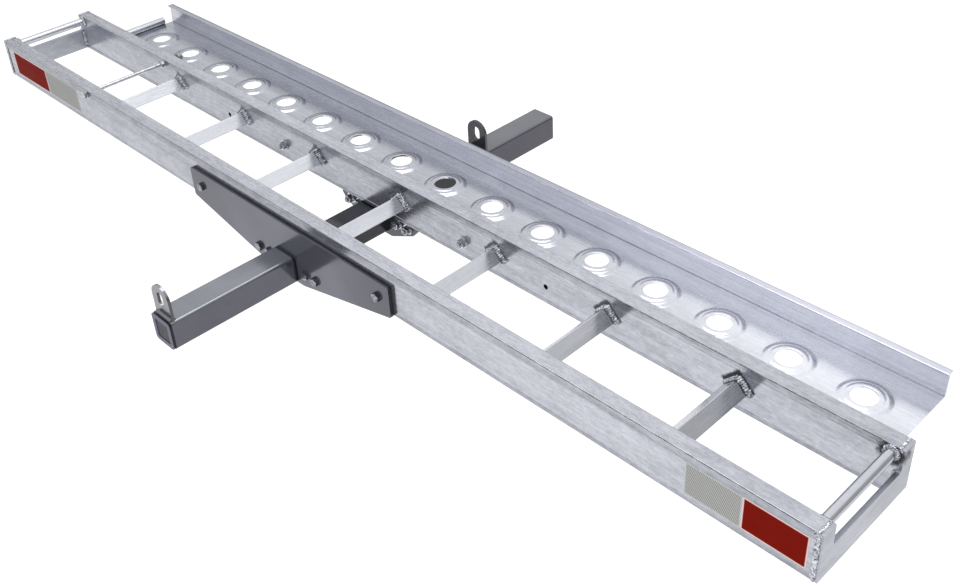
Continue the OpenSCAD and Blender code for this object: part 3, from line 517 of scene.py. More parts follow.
weld_metal, tree, surface = new_material("weld_aluminium")
marks = place_group(tree, handling, {"Place": object_place(tree), "Scale": 260.0})
colour = blend_colour(tree, marks["Clouds"], (0.10, 0.104, 0.125, 1), (0.88, 0.895, 0.98, 1))
tree.links.new(colour, surface.inputs["Base Color"])
tree.links.new(spread(tree, marks["Clouds"], 0.0, 1.0, 0.3, 0.1, "LINEAR"), surface.inputs["Roughness"])
surface.inputs["Metallic"].default_value = 0.95
bump = add(tree, "ShaderNodeBump", {"Strength": 0.3, "Distance": 0.0006, "Height": marks["Clouds"]})
tree.links.new(bump.outputs[0], surface.inputs["Normal"])


def weld(name, runs, seed, spacing, node):
    """One piece of weld beads. A run is (points, facing of each, (along, across, high) of a ripple in mm)."""
    lift = 0.0003
    mesh = bpy.data.meshes.new(name)
    points, edges, facings, sizes = [], [], [], []
    for line, faces, ripple_size in runs:
        first = len(points)
        points += [Vector(p) + Vector(f).normalized() * lift * ripple_size[2] for p, f in zip(line, faces)]
        facings += [Vector(f).normalized() for f in faces]
        sizes += [ripple_size] * len(line)
        edges += [(first + i, first + i + 1) for i in range(len(line) - 1)]
    mesh.from_pydata(points, edges, [])
    for label, values in (("facing", facings), ("size", sizes)):
        layer = mesh.attributes.new(label, "FLOAT_VECTOR", "POINT")
        layer.data.foreach_set("vector", [n for v in values for n in v])
    piece = grow(new_object(name, mesh), weld_run, ripple=ripple, spacing=spacing, seed=seed,
                 metal=weld_metal)
    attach(piece, "carrier")
    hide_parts(node)


leg_ends = (-0.0005, 0.0275)
left_bead, right_bead = (2.5, 4.6, 3.6), (2.9, 6.8, 5.4)
runs = []
for i in range(rung_count):
    x = rung_first + i * rung_pitch
    for side in (-1, 1):
        for web, away in ((front_web, 1), (rear_web, -1)):
            ends = [(x + side * leg_drop * d, web, rung_ridge - leg_drop * d) for d in leg_ends]
            bead = right_bead if side > 0 else left_bead
            runs.append((ends, [(side * leg_drop, away, leg_drop)] * 2, bead))
weld("rung_weld_beads", runs, 3, 0.0034, "rung_welds")

rail_top, rail_base = rail_high.z, rail_low.z
rail_corners, upright_ends = (-0.5505, -0.5295, -0.3745, -0.3545), (0.038, 0.066)
bar_r, bar_in = 0.0079, 0.00965
bar_turns = [math.radians(a) for a in range(0, 361, 20)]
runs = []
for inward, seam in ((1, rail_low.x), (-1, rail_high.x)):
    centre = seam + inward * bar_in
    for web, away in ((front_web, 1), (rear_web, -1)):
        upright = [(seam, web, z) for z in upright_ends]
        runs.append((upright, [(inward, away, 0)] * 2, (2.6, 5.2, 3.8)))
        ring = [(centre + bar_r * math.cos(a), web + away * 0.0006, bar_height + bar_r * math.sin(a))
                for a in bar_turns]
        runs.append((ring, [(math.cos(a), away, math.sin(a)) for a in bar_turns], (2.9, 4.0, 3.2)))
    for y in (rail_low.y, rear_rail_inner):
        across = [(seam, y + d, rail_top) for d in (0.002, 0.0234)]
        runs.append((across, [(0, 0, 1)] * 2, (1.9, 2.4, 0.8)))
    down = [(seam, rail_low.y, z) for z in (rail_base + 0.002, rail_top - 0.002)]
    runs.append((down, [(0, -1, 0)] * 2, (2.4, 4.0, 0.9)))
    for y in rail_corners:
        lump = [(seam - inward * 0.002, y, rail_top - 0.0036), (seam + inward * 0.004, y, rail_top - 0.0039)]
        runs.append((lump, [(0, -0.5, 1)] * 2, (2.6, 3.2, 3.0)))
weld("end_weld_beads", runs, 5, 0.0024, "end_welds")
bpy.data.objects.remove(ripple)


# Hitch tube. A 50.8 mm square steel tube under grey powder coat. A black plug closes its free end, and
# a nut welded inside behind the pin hole takes the hitch pin.

# Soft limits along the tube of the places where shade is painted on it
under_track, at_gusset = ((-0.545, -0.51), (-0.17, -0.2)), ((-0.5645, -0.561), (-0.555, -0.557))
behind_plug, past_ramp = (-0.7902, -0.7908), (-0.17, -0.11)
painted_shade_black, far_painted_shade = (0.01, 0.01, 0.011, 1), 0.38


def soft_between(tree, value, rise, fall):
    """1 between two soft limits, which are pairs of values."""
    return math_of(tree, "MULTIPLY", spread(tree, value, *rise), spread(tree, value, *fall))


def powder_coat(name, side, top=None, edge=None, shaded=False):
    """Satin grey coat. Upward faces are painted paler, to the colour of top, as painted light. Edge colours a
    plate's sheared edges as painted shade, apart from the front half of those that face up, and with an edge
    the coat also darkens towards the ends of the track as painted shade. Shaded is for the tube, which gets
    painted shade under the track and the ramp, at the gusset and behind the plug, and is darker at its far
    end as painted shade."""
    material, tree, surface = new_material(name)
    where = object_place(tree)
    place, normal = xyz_of(tree, where), facing_of(tree)
    marks = place_group(tree, handling, {"Place": where, "Scale": 11.0})
    grain = add(tree, "ShaderNodeTexNoise", {"Vector": where, "Scale": 900.0, "Detail": 2.0})
    # Upward faces are paler than the sides: painted light.
    colour = blend_colour(tree, spread(tree, normal[2], 0.2, 0.95), (*side, 1), (*(top or side), 1))
    # Sheared edges and the plate's ends are darkened as painted shade.
    if edge:
        flat = spread(tree, math_of(tree, "ABSOLUTE", normal[1]), 0.3, 0.8)
        front_half = spread(tree, place[1], -0.5548, -0.5556)
        front_half = math_of(tree, "MULTIPLY", front_half, spread(tree, normal[2], 0.3, 0.6))
        flat = math_of(tree, "MAXIMUM", flat, front_half)
        shade_to_ends = spread(tree, math_of(tree, "ABSOLUTE", place[0]), 0.1, 0.24, 0.0, 0.3)
        colour = blend_colour(tree, shade_to_ends, colour, (0.01, 0.01, 0.012, 1))
        colour = blend_colour(tree, flat, (*edge, 1), colour)
    # Painted shade on the tube under the track and ramp, at the gusset, behind the plug and at its far end.
    if shaded:
        tube_painted_shade = soft_between(tree, place[1], *under_track)
        for mask in (soft_between(tree, place[1], *at_gusset), spread(tree, place[1], *behind_plug),
                     spread(tree, place[1], *past_ramp, 0.0, far_painted_shade)):
            tube_painted_shade = math_of(tree, "MAXIMUM", tube_painted_shade, mask)
        colour = blend_colour(tree, math_of(tree, "MULTIPLY", tube_painted_shade, 0.85), colour, painted_shade_black)
    stains = math_of(tree, "MULTIPLY", marks["Clouds"], 0.22)
    colour = blend_colour(tree, stains, colour, (0.05, 0.05, 0.06, 1))
    tree.links.new(colour, surface.inputs["Base Color"])
    tree.links.new(spread(tree, marks["Clouds"], 0.0, 1.0, 0.13, 0.2, "LINEAR"), surface.inputs["Roughness"])
    surface.inputs["Metallic"].default_value = 0.65
    surface.inputs["Coat Weight"].default_value = 0.25
    surface.inputs["Coat Roughness"].default_value = 0.1
    bump = add(tree, "ShaderNodeBump", {"Strength": 0.06, "Distance": 0.0003, "Height": grain.outputs[0]})
    tree.links.new(bump.outputs[0], surface.inputs["Normal"])
    return material


dress(powder_coat("tube_coat", (0.135, 0.134, 0.163), (0.255, 0.268, 0.305), shaded=True), "hitch_tube")

plug_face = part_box("tube_plug")[0].y
plug_plastic, tree, surface = new_material("black_plug")
where = object_place(tree)
marks = place_group(tree, handling, {"Place": where, "Scale": 120.0})
# The black plug's face is painted a grey that stands for its sheen, as painted reflection, and its recessed
# part near black as painted shade.
colour = blend_colour(tree, marks["Clouds"], (0.127, 0.127, 0.19, 1), (0.17, 0.17, 0.245, 1))
sunk_shade = spread(tree, xyz_of(tree, where)[1], plug_face + 0.0004, plug_face + 0.0012)
colour = blend_colour(tree, sunk_shade, colour, (0.008, 0.008, 0.009, 1))
tree.links.new(colour, surface.inputs["Base Color"])
tree.links.new(spread(tree, marks["Clouds"], 0.0, 1.0, 0.35, 0.5, "LINEAR"), surface.inputs["Roughness"])
surface.inputs["Specular IOR Level"].default_value = 0.25
dress(plug_plastic, "tube_plug")

bare_steel, tree, surface = new_material("plain_steel")
marks = place_group(tree, handling, {"Place": object_place(tree), "Scale": 90.0})
colour = blend_colour(tree, marks["Clouds"], (0.16, 0.15, 0.15, 1), (0.34, 0.33, 0.33, 1))
tree.links.new(colour, surface.inputs["Base Color"])
tree.links.new(spread(tree, marks["Clouds"], 0.0, 1.0, 0.35, 0.55, "LINEAR"), surface.inputs["Roughness"])
surface.inputs["Metallic"].default_value = 0.9
dress(bare_steel, "pin_nut")


# Clamp plates. A long gusset and a saddle of steel plate clamp the track to the tube on either side, under
# the same coat as the tube. The sheared edges are painted almost black as painted shade, and the rear plates
# take a darker copy of the coat as painted shade.
shaded_edge_colour = (0.006, 0.006, 0.008)
front_coat = powder_coat("front_plate_coat", (0.14, 0.144, 0.182), edge=shaded_edge_colour)
# The rear plates' coat is a darker copy, as painted shade.
rear_coat_shaded = powder_coat("rear_plate_coat", (0.09, 0.093, 0.118), edge=shaded_edge_colour)
dress(front_coat, "front_gusset", "front_saddle")
dress(rear_coat_shaded, "rear_gusset", "rear_saddle")


# Tie loops. Two slotted steel plates with round tops are welded across the tube for straps, one at its
# free end and one behind the ramp.
# The outer loop's coat is a paler copy, as painted light, and the inner loop's a darker copy, as painted
# shade.
dress(powder_coat("outer_loop_coat", (0.22, 0.225, 0.24), (0.28, 0.285, 0.31), edge=(0.10, 0.10, 0.115)),
      "tie_loop_outer")
dress(powder_coat("inner_loop_coat", (0.045, 0.045, 0.055), (0.12, 0.12, 0.14), edge=(0.10, 0.10, 0.12)),
      "tie_loop_inner")
dress(powder_coat("bead_coat", (0.14, 0.14, 0.17), (0.20, 0.205, 0.24)), "loop_welds")


# Bolts, nuts and washers. Zinc-plated hexagon bolts of 9.5 mm clamp the gussets, the saddles and the
# stowed ramp. Heads and nuts have chamfered corners, and the bolts' ends show their thread.
def zinc_plating(name, dark, light, front_of=None):
    """Zinc whose faces are bright and whose sides and threads are darkened as painted shade, or only the
    sides in front of a plane, so that a rod stays bright."""
    material, tree, surface = new_material(name)
    where = object_place(tree)
    marks = place_group(tree, handling, {"Place": where, "Scale": 140.0})
    colour = blend_colour(tree, marks["Clouds"], (*dark, 1), (*light, 1))
    # The sides and threads are darkened as painted shade.
    side_shade = spread(tree, math_of(tree, "ABSOLUTE", facing_of(tree)[1]), 0.75, 0.4, 0.0, 0.45)
    if front_of is not None:
        in_front = spread(tree, xyz_of(tree, where)[1], front_of + 0.0004, front_of)
        side_shade = math_of(tree, "MULTIPLY", side_shade, in_front)
    colour = blend_colour(tree, side_shade, colour, (0.012, 0.013, 0.02, 1))
    tree.links.new(colour, surface.inputs["Base Color"])
    tree.links.new(spread(tree, marks["Clouds"], 0.0, 1.0, 0.26, 0.12, "LINEAR"), surface.inputs["Roughness"])
    surface.inputs["Metallic"].default_value = 0.95
    bump = add(tree, "ShaderNodeBump", {"Strength": 0.12, "Distance": 0.0003, "Height": marks["Clouds"]})
    tree.links.new(bump.outputs[0], surface.inputs["Normal"])
    return material


# A darker copy of the zinc for the bolts and a paler one for the nuts and washers on the webs, as painted
# shade and painted light.
zinc = zinc_plating("zinc_steel", (0.16, 0.165, 0.19), (0.42, 0.43, 0.49))
bright_zinc = zinc_plating("bright_zinc", (0.40, 0.41, 0.44), (0.84, 0.85, 0.90))


turn_steps, rings_in_pitch = 36, 5


def turned_mesh(name, rings, bored=False):
    """A mesh turned about Y. Each ring is a function of the angle that gives (radius, y). Without a
    bore the first and the last ring are closed."""
    bm = bmesh.new()
    loops = []
    for ring in rings:
        loop = []
        for i in range(turn_steps):
            a = 2 * math.pi * i / turn_steps
            r, y = ring(a)
            loop.append(bm.verts.new((r * math.sin(a), y, r * math.cos(a))))
        loops.append(loop)
    pairs = list(zip(loops, loops[1:]))
    if bored:
        pairs.append((loops[-1], loops[0]))
    for one, other in pairs:
        for i in range(turn_steps):
            j = (i + 1) % turn_steps
            bm.faces.new((one[i], one[j], other[j], other[i]))
    if not bored:
        bm.faces.new(loops[0][::-1])
        bm.faces.new(loops[-1])
    bmesh.ops.recalc_face_normals(bm, faces=bm.faces)
    mesh = bpy.data.meshes.new(name)
    bm.to_mesh(mesh)
    bm.free()
    smooth_from(mesh, 32)
    return mesh


def level_ring(r, y):
    return lambda a: (r, y)


def hexagon(flats, a):
    return flats / 2 / math.cos((a + math.pi / 6) % (math.pi / 3) - math.pi / 6)


def hexagon_ring(flats, y, shoulder=0.0, side=1):
    """Hexagon whose corners fall away beyond the chamfer's circle, towards side. Without a shoulder it
    is level."""
    slope = math.tan(math.radians(30)) if shoulder else 0
    return lambda a: (hexagon(flats, a), y - side * slope * max(0, hexagon(flats, a) - shoulder))


def thread_ring(r, y, pitch):
    def ring(a):
        wave = abs(((y / pitch + a / (2 * math.pi)) % 1) * 2 - 1)
        return r - 0.55 * pitch * (1 - wave), y
    return ring


def bolt_mesh(name, flats, head, r, length, pitch, threaded):
    """Bolt whose head seats on y = 0 and whose shank runs to +Y, threaded over its last stretch."""
    chamfer = flats / 2 * 0.95
    rings = [level_ring(chamfer * 0.45, -head + 0.0002), level_ring(chamfer * 0.75, -head),
             level_ring(chamfer, -head), hexagon_ring(flats, -head, chamfer, -1),
             hexagon_ring(flats, -0.0005), level_ring(chamfer, -0.0004), level_ring(chamfer, 0),
             level_ring(r + 0.0002, 0), level_ring(r, 0.0002)]
    y = length - threaded
    rings.append(level_ring(r, y))
    while y < length - 0.0008:
        y += pitch / rings_in_pitch
        rings.append(thread_ring(r, y, pitch))
    rings += [level_ring(r - 0.6 * pitch, length), level_ring(r * 0.3, length)]
    return turned_mesh(name, rings)


def nut_mesh(name, flats, height, bore, pitch):
    """Nut that stands on y = 0, with a threaded bore."""
    chamfer = flats / 2 * 0.96
    rings = [level_ring(bore + 0.0006, 0), level_ring(chamfer, 0), hexagon_ring(flats, 0, chamfer, -1),
             hexagon_ring(flats, height, chamfer, 1), level_ring(chamfer, height),
             level_ring(bore + 0.0006, height)]
    y = height - 0.0006
    while y > 0.0006:
        rings.append(thread_ring(bore + 0.0003, y, pitch))
        y -= pitch / rings_in_pitch
    return turned_mesh(name, rings, bored=True)


def washer_mesh(name, r, bore, thickness):
    edge = 0.0003
    return turned_mesh(name, [level_ring(bore, edge), level_ring(bore + edge, 0), level_ring(r - edge, 0),
                              level_ring(r, edge), level_ring(r, thickness - edge),
                              level_ring(r - edge, thickness), level_ring(bore + edge, thickness),
                              level_ring(bore, thickness - edge)], bored=True)


set_out, given, result = new_tree("set_out", [("Piece", "Object"), ("Metal", "Material")])
turns = add(set_out, "GeometryNodeInputNamedAttribute", {0: "turns"}, data_type="FLOAT_VECTOR")
piece = add(set_out, "GeometryNodeObjectInfo", {0: given["Piece"]})
row = add(set_out, "GeometryNodeInstanceOnPoints",
          {"Points": given["Geometry"], "Instance": piece.outputs["Geometry"], "Rotation": turns.outputs[0]})
row = add(set_out, "GeometryNodeRealizeInstances", {0: row.outputs[0]})
row = add(set_out, "GeometryNodeSetMaterial", {"Geometry": row.outputs[0], "Material": given["Metal"]})
set_out.links.new(row.outputs[0], result["Geometry"])
wrench = random.Random(11)


def fasteners(name, sets, metal, body, node):
    """One piece that holds sets of (mesh, places). A place is (x, y, z, True where it points to +Y)."""
    made = []
    for mesh, places in sets:
        model = new_object("model_" + mesh.name, mesh)
        points = bpy.data.meshes.new(name)
        points.from_pydata([p[:3] for p in places], [], [])
        layer = points.attributes.new("turns", "FLOAT_VECTOR", "POINT")
        layer.data.foreach_set("vector", [n for p in places for n in (
            0, math.radians(wrench.uniform(0, 60)), 0 if p[3] else math.pi)])
        made.append(grow(new_object(name + "_set", points), set_out, piece=model, metal=metal))
        bpy.data.objects.remove(model)
    bm = bmesh.new()
    for one in made:
        bm.from_mesh(one.data)
        bpy.data.objects.remove(one)
    mesh = bpy.data.meshes.new(name)
    bm.to_mesh(mesh)
    bm.free()
    mesh.materials.append(metal)
    smooth_from(mesh, 32)
    joined = new_object(name, mesh)
    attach(joined, body)
    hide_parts(node)


outer_x, front_z, rear_z = (-0.2365, 0.2365), 0.0526, 0.0576
saddle_x, saddle_z = (-0.0762, -0.0508, 0.0508, 0.0762), 0.001
gusset_front, gusset_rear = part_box("front_gusset")[0].y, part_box("rear_gusset")[1].y
front_nut, rear_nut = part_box("front_saddle")[1].y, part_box("rear_saddle")[0].y
ramp_seat = -0.3435  # inner face of the ramp's near wall
washer_high, nut_high, bolt_flats, bolt_r = 0.0016, 0.008, 0.0143, 0.00476
bolt_head, bolt_pitch = 0.0055, 0.0015


def clamp_bolt(name, length, threaded):
    return bolt_mesh(name, bolt_flats, bolt_head, bolt_r, length, bolt_pitch, threaded)


def at_each(xs, y, z, rearward):
    return [(x, y, z, rearward) for x in xs]


gusset_bolt = clamp_bolt("gusset_bolt", 0.04375, 0.018)
fasteners("gusset_bolt_set", [(gusset_bolt, at_each(outer_x, gusset_front, front_z, True))],
          zinc, "carrier", "gusset_bolts")
near_bolt = clamp_bolt("near_saddle_bolt", 0.0253, 0.014)
far_bolt = clamp_bolt("far_saddle_bolt", 0.02375, 0.014)
fasteners("saddle_bolt_set", [(near_bolt, at_each(saddle_x, gusset_front, saddle_z, True)),
                              (far_bolt, at_each(saddle_x, gusset_rear, saddle_z, False))],
          zinc, "carrier", "saddle_bolts")
flat_washer = washer_mesh("washer", 0.010, 0.00511, washer_high)
washer_places = (at_each(outer_x, front_web, front_z, True) + at_each(outer_x, rear_web, rear_z, False)
                 + at_each(saddle_x, front_nut, saddle_z, True)
                 + at_each(saddle_x, rear_nut, saddle_z, False))
fasteners("clamp_washer_set", [(flat_washer, washer_places)], bright_zinc, "carrier", "clamp_washers")
clamp_nut = nut_mesh("nut", bolt_flats, nut_high, 0.00486, bolt_pitch)
nut_places = (at_each(outer_x, front_web + washer_high, front_z, True)
              + at_each(saddle_x, front_nut + washer_high, saddle_z, True)
              + at_each(saddle_x, rear_nut - washer_high, saddle_z, False))
fasteners("clamp_nut_set", [(clamp_nut, nut_places)], bright_zinc, "carrier", "clamp_nuts")
fasteners("ramp_nut_set", [(clamp_nut, at_each(outer_x, rear_web - washer_high, rear_z, False))],
          bright_zinc, "carrier", "ramp_nuts")
ramp_bolt = clamp_bolt("ramp_bolt", 0.0459, 0.02)
fasteners("ramp_bolt_set", [(ramp_bolt, at_each(outer_x, ramp_seat, rear_z, False))],
          zinc, "ramp", "ramp_bolts")


# Retaining bolt. An 8 mm bolt crosses both rails near the left end. A sleeve holds its outer nut and
# washer off the rail, over the stowed ramp's lip.
long_x, long_z, long_flats, long_r, long_pitch = (-0.637,), 0.0966, 0.013, 0.004, 0.00125
long_seat, sleeve_end = rail_low.y - washer_high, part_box("long_bolt_sleeve")[1].y
long_washer_r, long_nut_bore = 0.008, 0.00435
# The rod's zinc is a paler copy, as painted light, with its sides darkened as painted shade only in front of
# the rail.
rod_zinc = zinc_plating("rod_zinc", (0.46, 0.47, 0.50), (0.76, 0.77, 0.82), front_of=rail_low.y - 0.0002)
retaining = bolt_mesh("retaining_bolt", long_flats, 0.0053, long_r, 0.22, long_pitch, 0.05)
head_washer = washer_mesh("head_washer", long_washer_r, 0.0041, washer_high)
fasteners("retaining_bolt", [(retaining, at_each(long_x, long_seat, long_z, True)),
                             (head_washer, at_each(long_x, long_seat, long_z, True))],
          rod_zinc, "retaining_bolt", "long_bolt")
web_washer = washer_mesh("web_washer", long_washer_r, long_nut_bore, washer_high)
fasteners("retaining_washer_set", [(web_washer, at_each(long_x, rear_rail_inner, long_z, False)
                                    + at_each(long_x, sleeve_end, long_z, True))],
          bright_zinc, "carrier", "long_bolt_washers")
web_nut = nut_mesh("retaining_nut", long_flats, 0.0068, long_nut_bore, long_pitch)
fasteners("retaining_nut_set", [(web_nut, at_each(long_x, rear_rail_inner - washer_high, long_z, False)
                                 + at_each(long_x, sleeve_end + washer_high, long_z, True))],
          bright_zinc, "carrier", "long_bolt_nuts")
dress(zinc, "long_bolt_sleeve")


# Loading ramp. An extruded channel of satin aluminium with a T-shaped lip on each wall. Sixteen holes
# are punched through its floor, and each stands in a raised flare with rolled steps for grip. The round
# rod welded across its left end hooks over the track's end bar when the ramp is in use.
ramp_low, ramp_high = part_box("ramp_channel")
# The ramp is paled and darkened along the track as painted light, and its lips are darkened as painted shade.
ramp_metal = aluminium("ramp_aluminium", (0.40, 0.413, 0.46), (0.90, 0.912, 0.99), 0.24, 0.9,
                       (0.12, 0.15, 0.1, 0.12), 1.5, 260,
                       flat_painted_light=((-0.85, -0.44), (0, -0.34), (0.36, -0.16), (0.8, 0.42), (0.95, 0.3)),
                       upright_painted_light=((-0.85, -0.09), (0, 0.28), (0.5, 0.34), (0.9, -0.05)),
                       lip=ramp_high.z)
wall, half_inner, lip_half, lip_deep = 0.0032, 0.0746, 0.00635, 0.0032
middle_y, floor_top, lip_top = (ramp_low.y + ramp_high.y) / 2, ramp_low.z + wall, ramp_high.z
hole_pitch, hole_total, end_margin = 0.1143, 16, 0.074
first_hole = ramp_low.x + end_margin

# Sections of a flare, from above and from below, as (radius, height over the floor's top) in mm
flare_profile = [(38.5, 0), (38, 0.1), (37, 0.5), (35.8, 1.1), (34.6, 1.7), (33.4, 2.3), (32.2, 2.85),
                 (31.3, 3.15), (30.4, 3.3), (28.8, 3.35), (27.9, 3.45), (27, 3.7), (26, 4.05), (25, 4.4),
                 (24, 4.65), (22.8, 4.75), (21.5, 4.8), (20.3, 4.95), (19.5, 4.95), (19.15, 4.7),
                 (19.05, 4.2)]
under_profile = [(19.05, 1.5), (20.2, 1.7), (22.5, 0.6), (26, -0.3), (30, -1.3), (35, -2.2), (37.5, -3.2)]
side_steps, cross_steps = 12, 16


def border(half_x, half_y):
    """Points round a rectangle, from its low corner, with the same steps on opposite sides."""
    low, high = Vector((-half_x, -half_y)), Vector((half_x, half_y))
    points = [(low.x + 2 * half_x * i / side_steps, low.y) for i in range(side_steps)]
    points += [(high.x, low.y + 2 * half_y * i / cross_steps) for i in range(cross_steps)]
    points += [(high.x - 2 * half_x * i / side_steps, high.y) for i in range(side_steps)]
    points += [(low.x, high.y - 2 * half_y * i / cross_steps) for i in range(cross_steps)]
    return points


def floor_rings(bm, half_y, flat_z, profile):
    """A sheet of one cell: its border, three rings that grow round, and the profile's circles."""
    edge = border(hole_pitch / 2, half_y)
    angles = [math.atan2(y, x) for x, y in edge]
    outer = profile[0][0] / 1000
    rings = [[(x, y, flat_z) for x, y in edge]]
    for share in (0.35, 0.65, 0.88):
        rings.append([(x + (outer * math.cos(a) - x) * share, y + (outer * math.sin(a) - y) * share, flat_z)
                      for (x, y), a in zip(edge, angles)])
    for r, rise in profile:
        r, z = r / 1000, floor_top + rise / 1000
        rings.append([(r * math.cos(a), r * math.sin(a), z) for a in angles])
    return [[bm.verts.new(p) for p in ring] for ring in rings]


def wall_line():
    """Section of a wall and its lip, from the floor's top over the lip to the floor's underside."""
    inner, outer = half_inner, half_inner + wall
    centre, top, low = half_inner + wall / 2, lip_top, floor_top - wall
    root_r, lip_r, heel_r = 0.0015, 0.0008, 0.002
    points = [(inner - root_r, floor_top)]
    for a in map(math.radians, (67, 45, 22, 0)):
        points.append((inner - root_r * math.cos(a), floor_top + root_r - root_r * math.sin(a)))
    under = top - lip_deep
    near, far, cut = centre - lip_half, centre + lip_half, lip_r * 0.3
    points += [(inner, under - 0.001), (inner - 0.0003, under - 0.0002)]
    points += [(near + lip_r, under), (near + cut, under + cut), (near, under + lip_r),
               (near, top - lip_r), (near + cut, top - cut), (near + lip_r, top),
               (far - lip_r, top), (far - cut, top - cut), (far, top - lip_r),
               (far, under + lip_r), (far - cut, under + cut), (far - lip_r, under)]
    points += [(outer + 0.0003, under - 0.0002), (outer, under - 0.001)]
    for a in map(math.radians, (0, 30, 60, 90)):
        points.append((outer - heel_r + heel_r * math.cos(a), low + heel_r - heel_r * math.sin(a)))
    return points


section = wall_line()
top_half, under_half = section[0][0], section[-1][0]


def stretch_walls(bm, stations):
    """Both walls, drawn out between the stations along X."""
    for side in (-1, 1):
        lines = [[bm.verts.new((x, side * y, z)) for y, z in section] for x in stations]
        for one, other in zip(lines, lines[1:]):
            for k in range(len(section) - 1):
                bm.faces.new((one[k], one[k + 1], other[k + 1], other[k]))


bm = bmesh.new()
top_rings = floor_rings(bm, top_half, floor_top, flare_profile)
under_rings = floor_rings(bm, under_half, floor_top - wall, under_profile[::-1])
around = top_rings + under_rings[::-1]
count = len(around[0])
for one, other in zip(around, around[1:]):
    for i in range(count):
        j = (i + 1) % count
        bm.faces.new((one[i], one[j], other[j], other[i]))
stretch_walls(bm, [-hole_pitch / 2 + hole_pitch * i / side_steps for i in range(side_steps + 1)])
bmesh.ops.remove_doubles(bm, verts=bm.verts, dist=0.00002)
bmesh.ops.recalc_face_normals(bm, faces=bm.faces)
cell_mesh = bpy.data.meshes.new("ramp_cell")
bm.to_mesh(cell_mesh)
bm.free()
ramp_cell = new_object("ramp_cell", cell_mesh)

punch_row, given, result = new_tree("punch_row", [("Cell", "Object"), ("Holes", "Int"), ("Pitch", "Float"),
                                                  ("Metal", "Material")])
step = add(punch_row, "ShaderNodeCombineXYZ", {0: given["Pitch"]})
start = add(punch_row, "ShaderNodeCombineXYZ", {0: first_hole, 1: middle_y})
line = add(punch_row, "GeometryNodeMeshLine", {"Count": given["Holes"], "Start Location": start.outputs[0],
                                               "Offset": step.outputs[0]})
cell = add(punch_row, "GeometryNodeObjectInfo", {0: given["Cell"]})
row = add(punch_row, "GeometryNodeInstanceOnPoints",
          {"Points": line.outputs[0], "Instance": cell.outputs["Geometry"]})
row = add(punch_row, "GeometryNodeRealizeInstances", {0: row.outputs[0]})
both = add(punch_row, "GeometryNodeJoinGeometry")
punch_row.links.new(row.outputs[0], both.inputs[0])
punch_row.links.new(given["Geometry"], both.inputs[0])
row = add(punch_row, "GeometryNodeMergeByDistance", {"Geometry": both.outputs[0], "Distance": 0.00003})
row = add(punch_row, "GeometryNodeSetMaterial", {"Geometry": row.outputs[0], "Material": given["Metal"]})
punch_row.links.new(row.outputs[0], result["Geometry"])

bm = bmesh.new()
cells_from, cells_to = first_hole - hole_pitch / 2, first_hole + (hole_total - 0.5) * hole_pitch
for ends in ((ramp_low.x, cells_from), (cells_to, ramp_high.x)):
    for half, z in ((top_half, floor_top), (under_half, floor_top - wall)):
        across = [-half + 2 * half * i / cross_steps for i in range(cross_steps + 1)]
        lines = [[bm.verts.new((x, y, z)) for y in across] for x in ends]
        for i in range(cross_steps):
            bm.faces.new((lines[0][i], lines[0][i + 1], lines[1][i + 1], lines[1][i]))
    stretch_walls(bm, ends)
bmesh.ops.translate(bm, vec=(0, middle_y, 0), verts=bm.verts)
ends_mesh = bpy.data.meshes.new("ramp")
bm.to_mesh(ends_mesh)
bm.free()
ramp = grow(new_object("ramp", ends_mesh), punch_row, cell=ramp_cell, holes=hole_total, pitch=hole_pitch,
            metal=ramp_metal)
bpy.data.objects.remove(ramp_cell)
bm = bmesh.new()
bm.from_mesh(ramp.data)
bmesh.ops.remove_doubles(bm, verts=bm.verts, dist=0.00003)
bmesh.ops.holes_fill(bm, edges=[e for e in bm.edges if e.is_boundary], sides=0)
bmesh.ops.recalc_face_normals(bm, faces=bm.faces)
bm.to_mesh(ramp.data)
bm.free()
smooth_from(ramp.data, 40)
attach(ramp, "ramp")
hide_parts("ramp_channel")
dress(bar_metal, "ramp_hook_rod")
dress(weld_metal, "ramp_rod_weld")


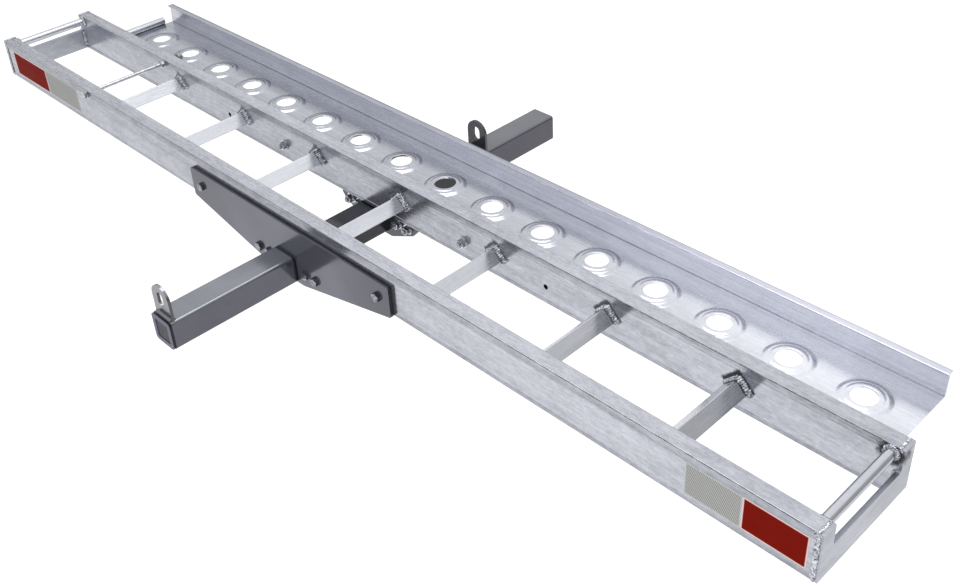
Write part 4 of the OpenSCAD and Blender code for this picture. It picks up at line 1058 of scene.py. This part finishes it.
# Reflective tape. Self-adhesive strips, 52.5 mm high, on the front rail's panel: red at the ends, white
# beside it, each with a clear border and a fine pattern of cells.
tape_frame, given, result = new_group(
    "tape_frame", [("Place", "Vector", None), ("Low", "Vector", (0, 0, 0)), ("High", "Vector", (1, 1, 1)),
                   ("Border", "Float", 0.003)], [("Inside", "Float")])
place, low, high = (xyz_of(tape_frame, given[label]) for label in ("Place", "Low", "High"))
nearest = None
for axis in (0, 2):
    for gap in (math_of(tape_frame, "SUBTRACT", place[axis], low[axis]),
                math_of(tape_frame, "SUBTRACT", high[axis], place[axis])):
        nearest = gap if nearest is None else math_of(tape_frame, "MINIMUM", nearest, gap)
tape_frame.links.new(spread(tape_frame, math_of(tape_frame, "DIVIDE", nearest, given["Border"]), 0.85, 1.15),
                     result["Inside"])


def tape(node, film, ground, edge, cells):
    """Film is the colour of the cells, ground that between them, and edge that of the border."""
    material, tree, surface = new_material(node + "_film")
    where = object_place(tree)
    low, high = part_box(node)
    inside = place_group(tree, tape_frame, {"Place": where, "Low": low, "High": high, "Border": 0.002})
    slant = (0, math.radians(38), 0)
    turned = add(tree, "ShaderNodeMapping", {"Vector": where, "Rotation": slant})
    wave = add(tree, "ShaderNodeTexWave", {"Vector": turned.outputs[0], "Scale": cells, "Distortion": 0.4,
                                           "Detail": 1.0}, bands_direction="X")
    marks = place_group(tree, handling, {"Place": where, "Scale": 60.0})
    colour = blend_colour(tree, spread(tree, wave.outputs["Fac"], 0.2, 0.9), (*film, 1), (*ground, 1))
    colour = blend_colour(tree, math_of(tree, "MULTIPLY", marks["Clouds"], 0.25), colour,
                          (film[0] * 0.8, film[1] * 0.8, film[2] * 0.8, 1))
    colour = blend_colour(tree, inside["Inside"], (*edge, 1), colour)
    tree.links.new(colour, surface.inputs["Base Color"])
    tree.links.new(spread(tree, marks["Clouds"], 0.0, 1.0, 0.4, 0.52, "LINEAR"), surface.inputs["Roughness"])
    surface.inputs["Specular IOR Level"].default_value = 0.02
    bump = add(tree, "ShaderNodeBump", {"Strength": 0.1, "Distance": 0.0002, "Height": wave.outputs["Fac"]})
    tree.links.new(bump.outputs[0], surface.inputs["Normal"])
    dress(material, node)


for side in ("left", "right"):
    tape(f"tape_{side}_red", (0.25, 0.007, 0.002), (0.17, 0.005, 0.001), (0.85, 0.68, 0.66), 110)
    tape(f"tape_{side}_white", (0.56, 0.565, 0.55), (0.24, 0.245, 0.24), (0.60, 0.61, 0.61), 90)
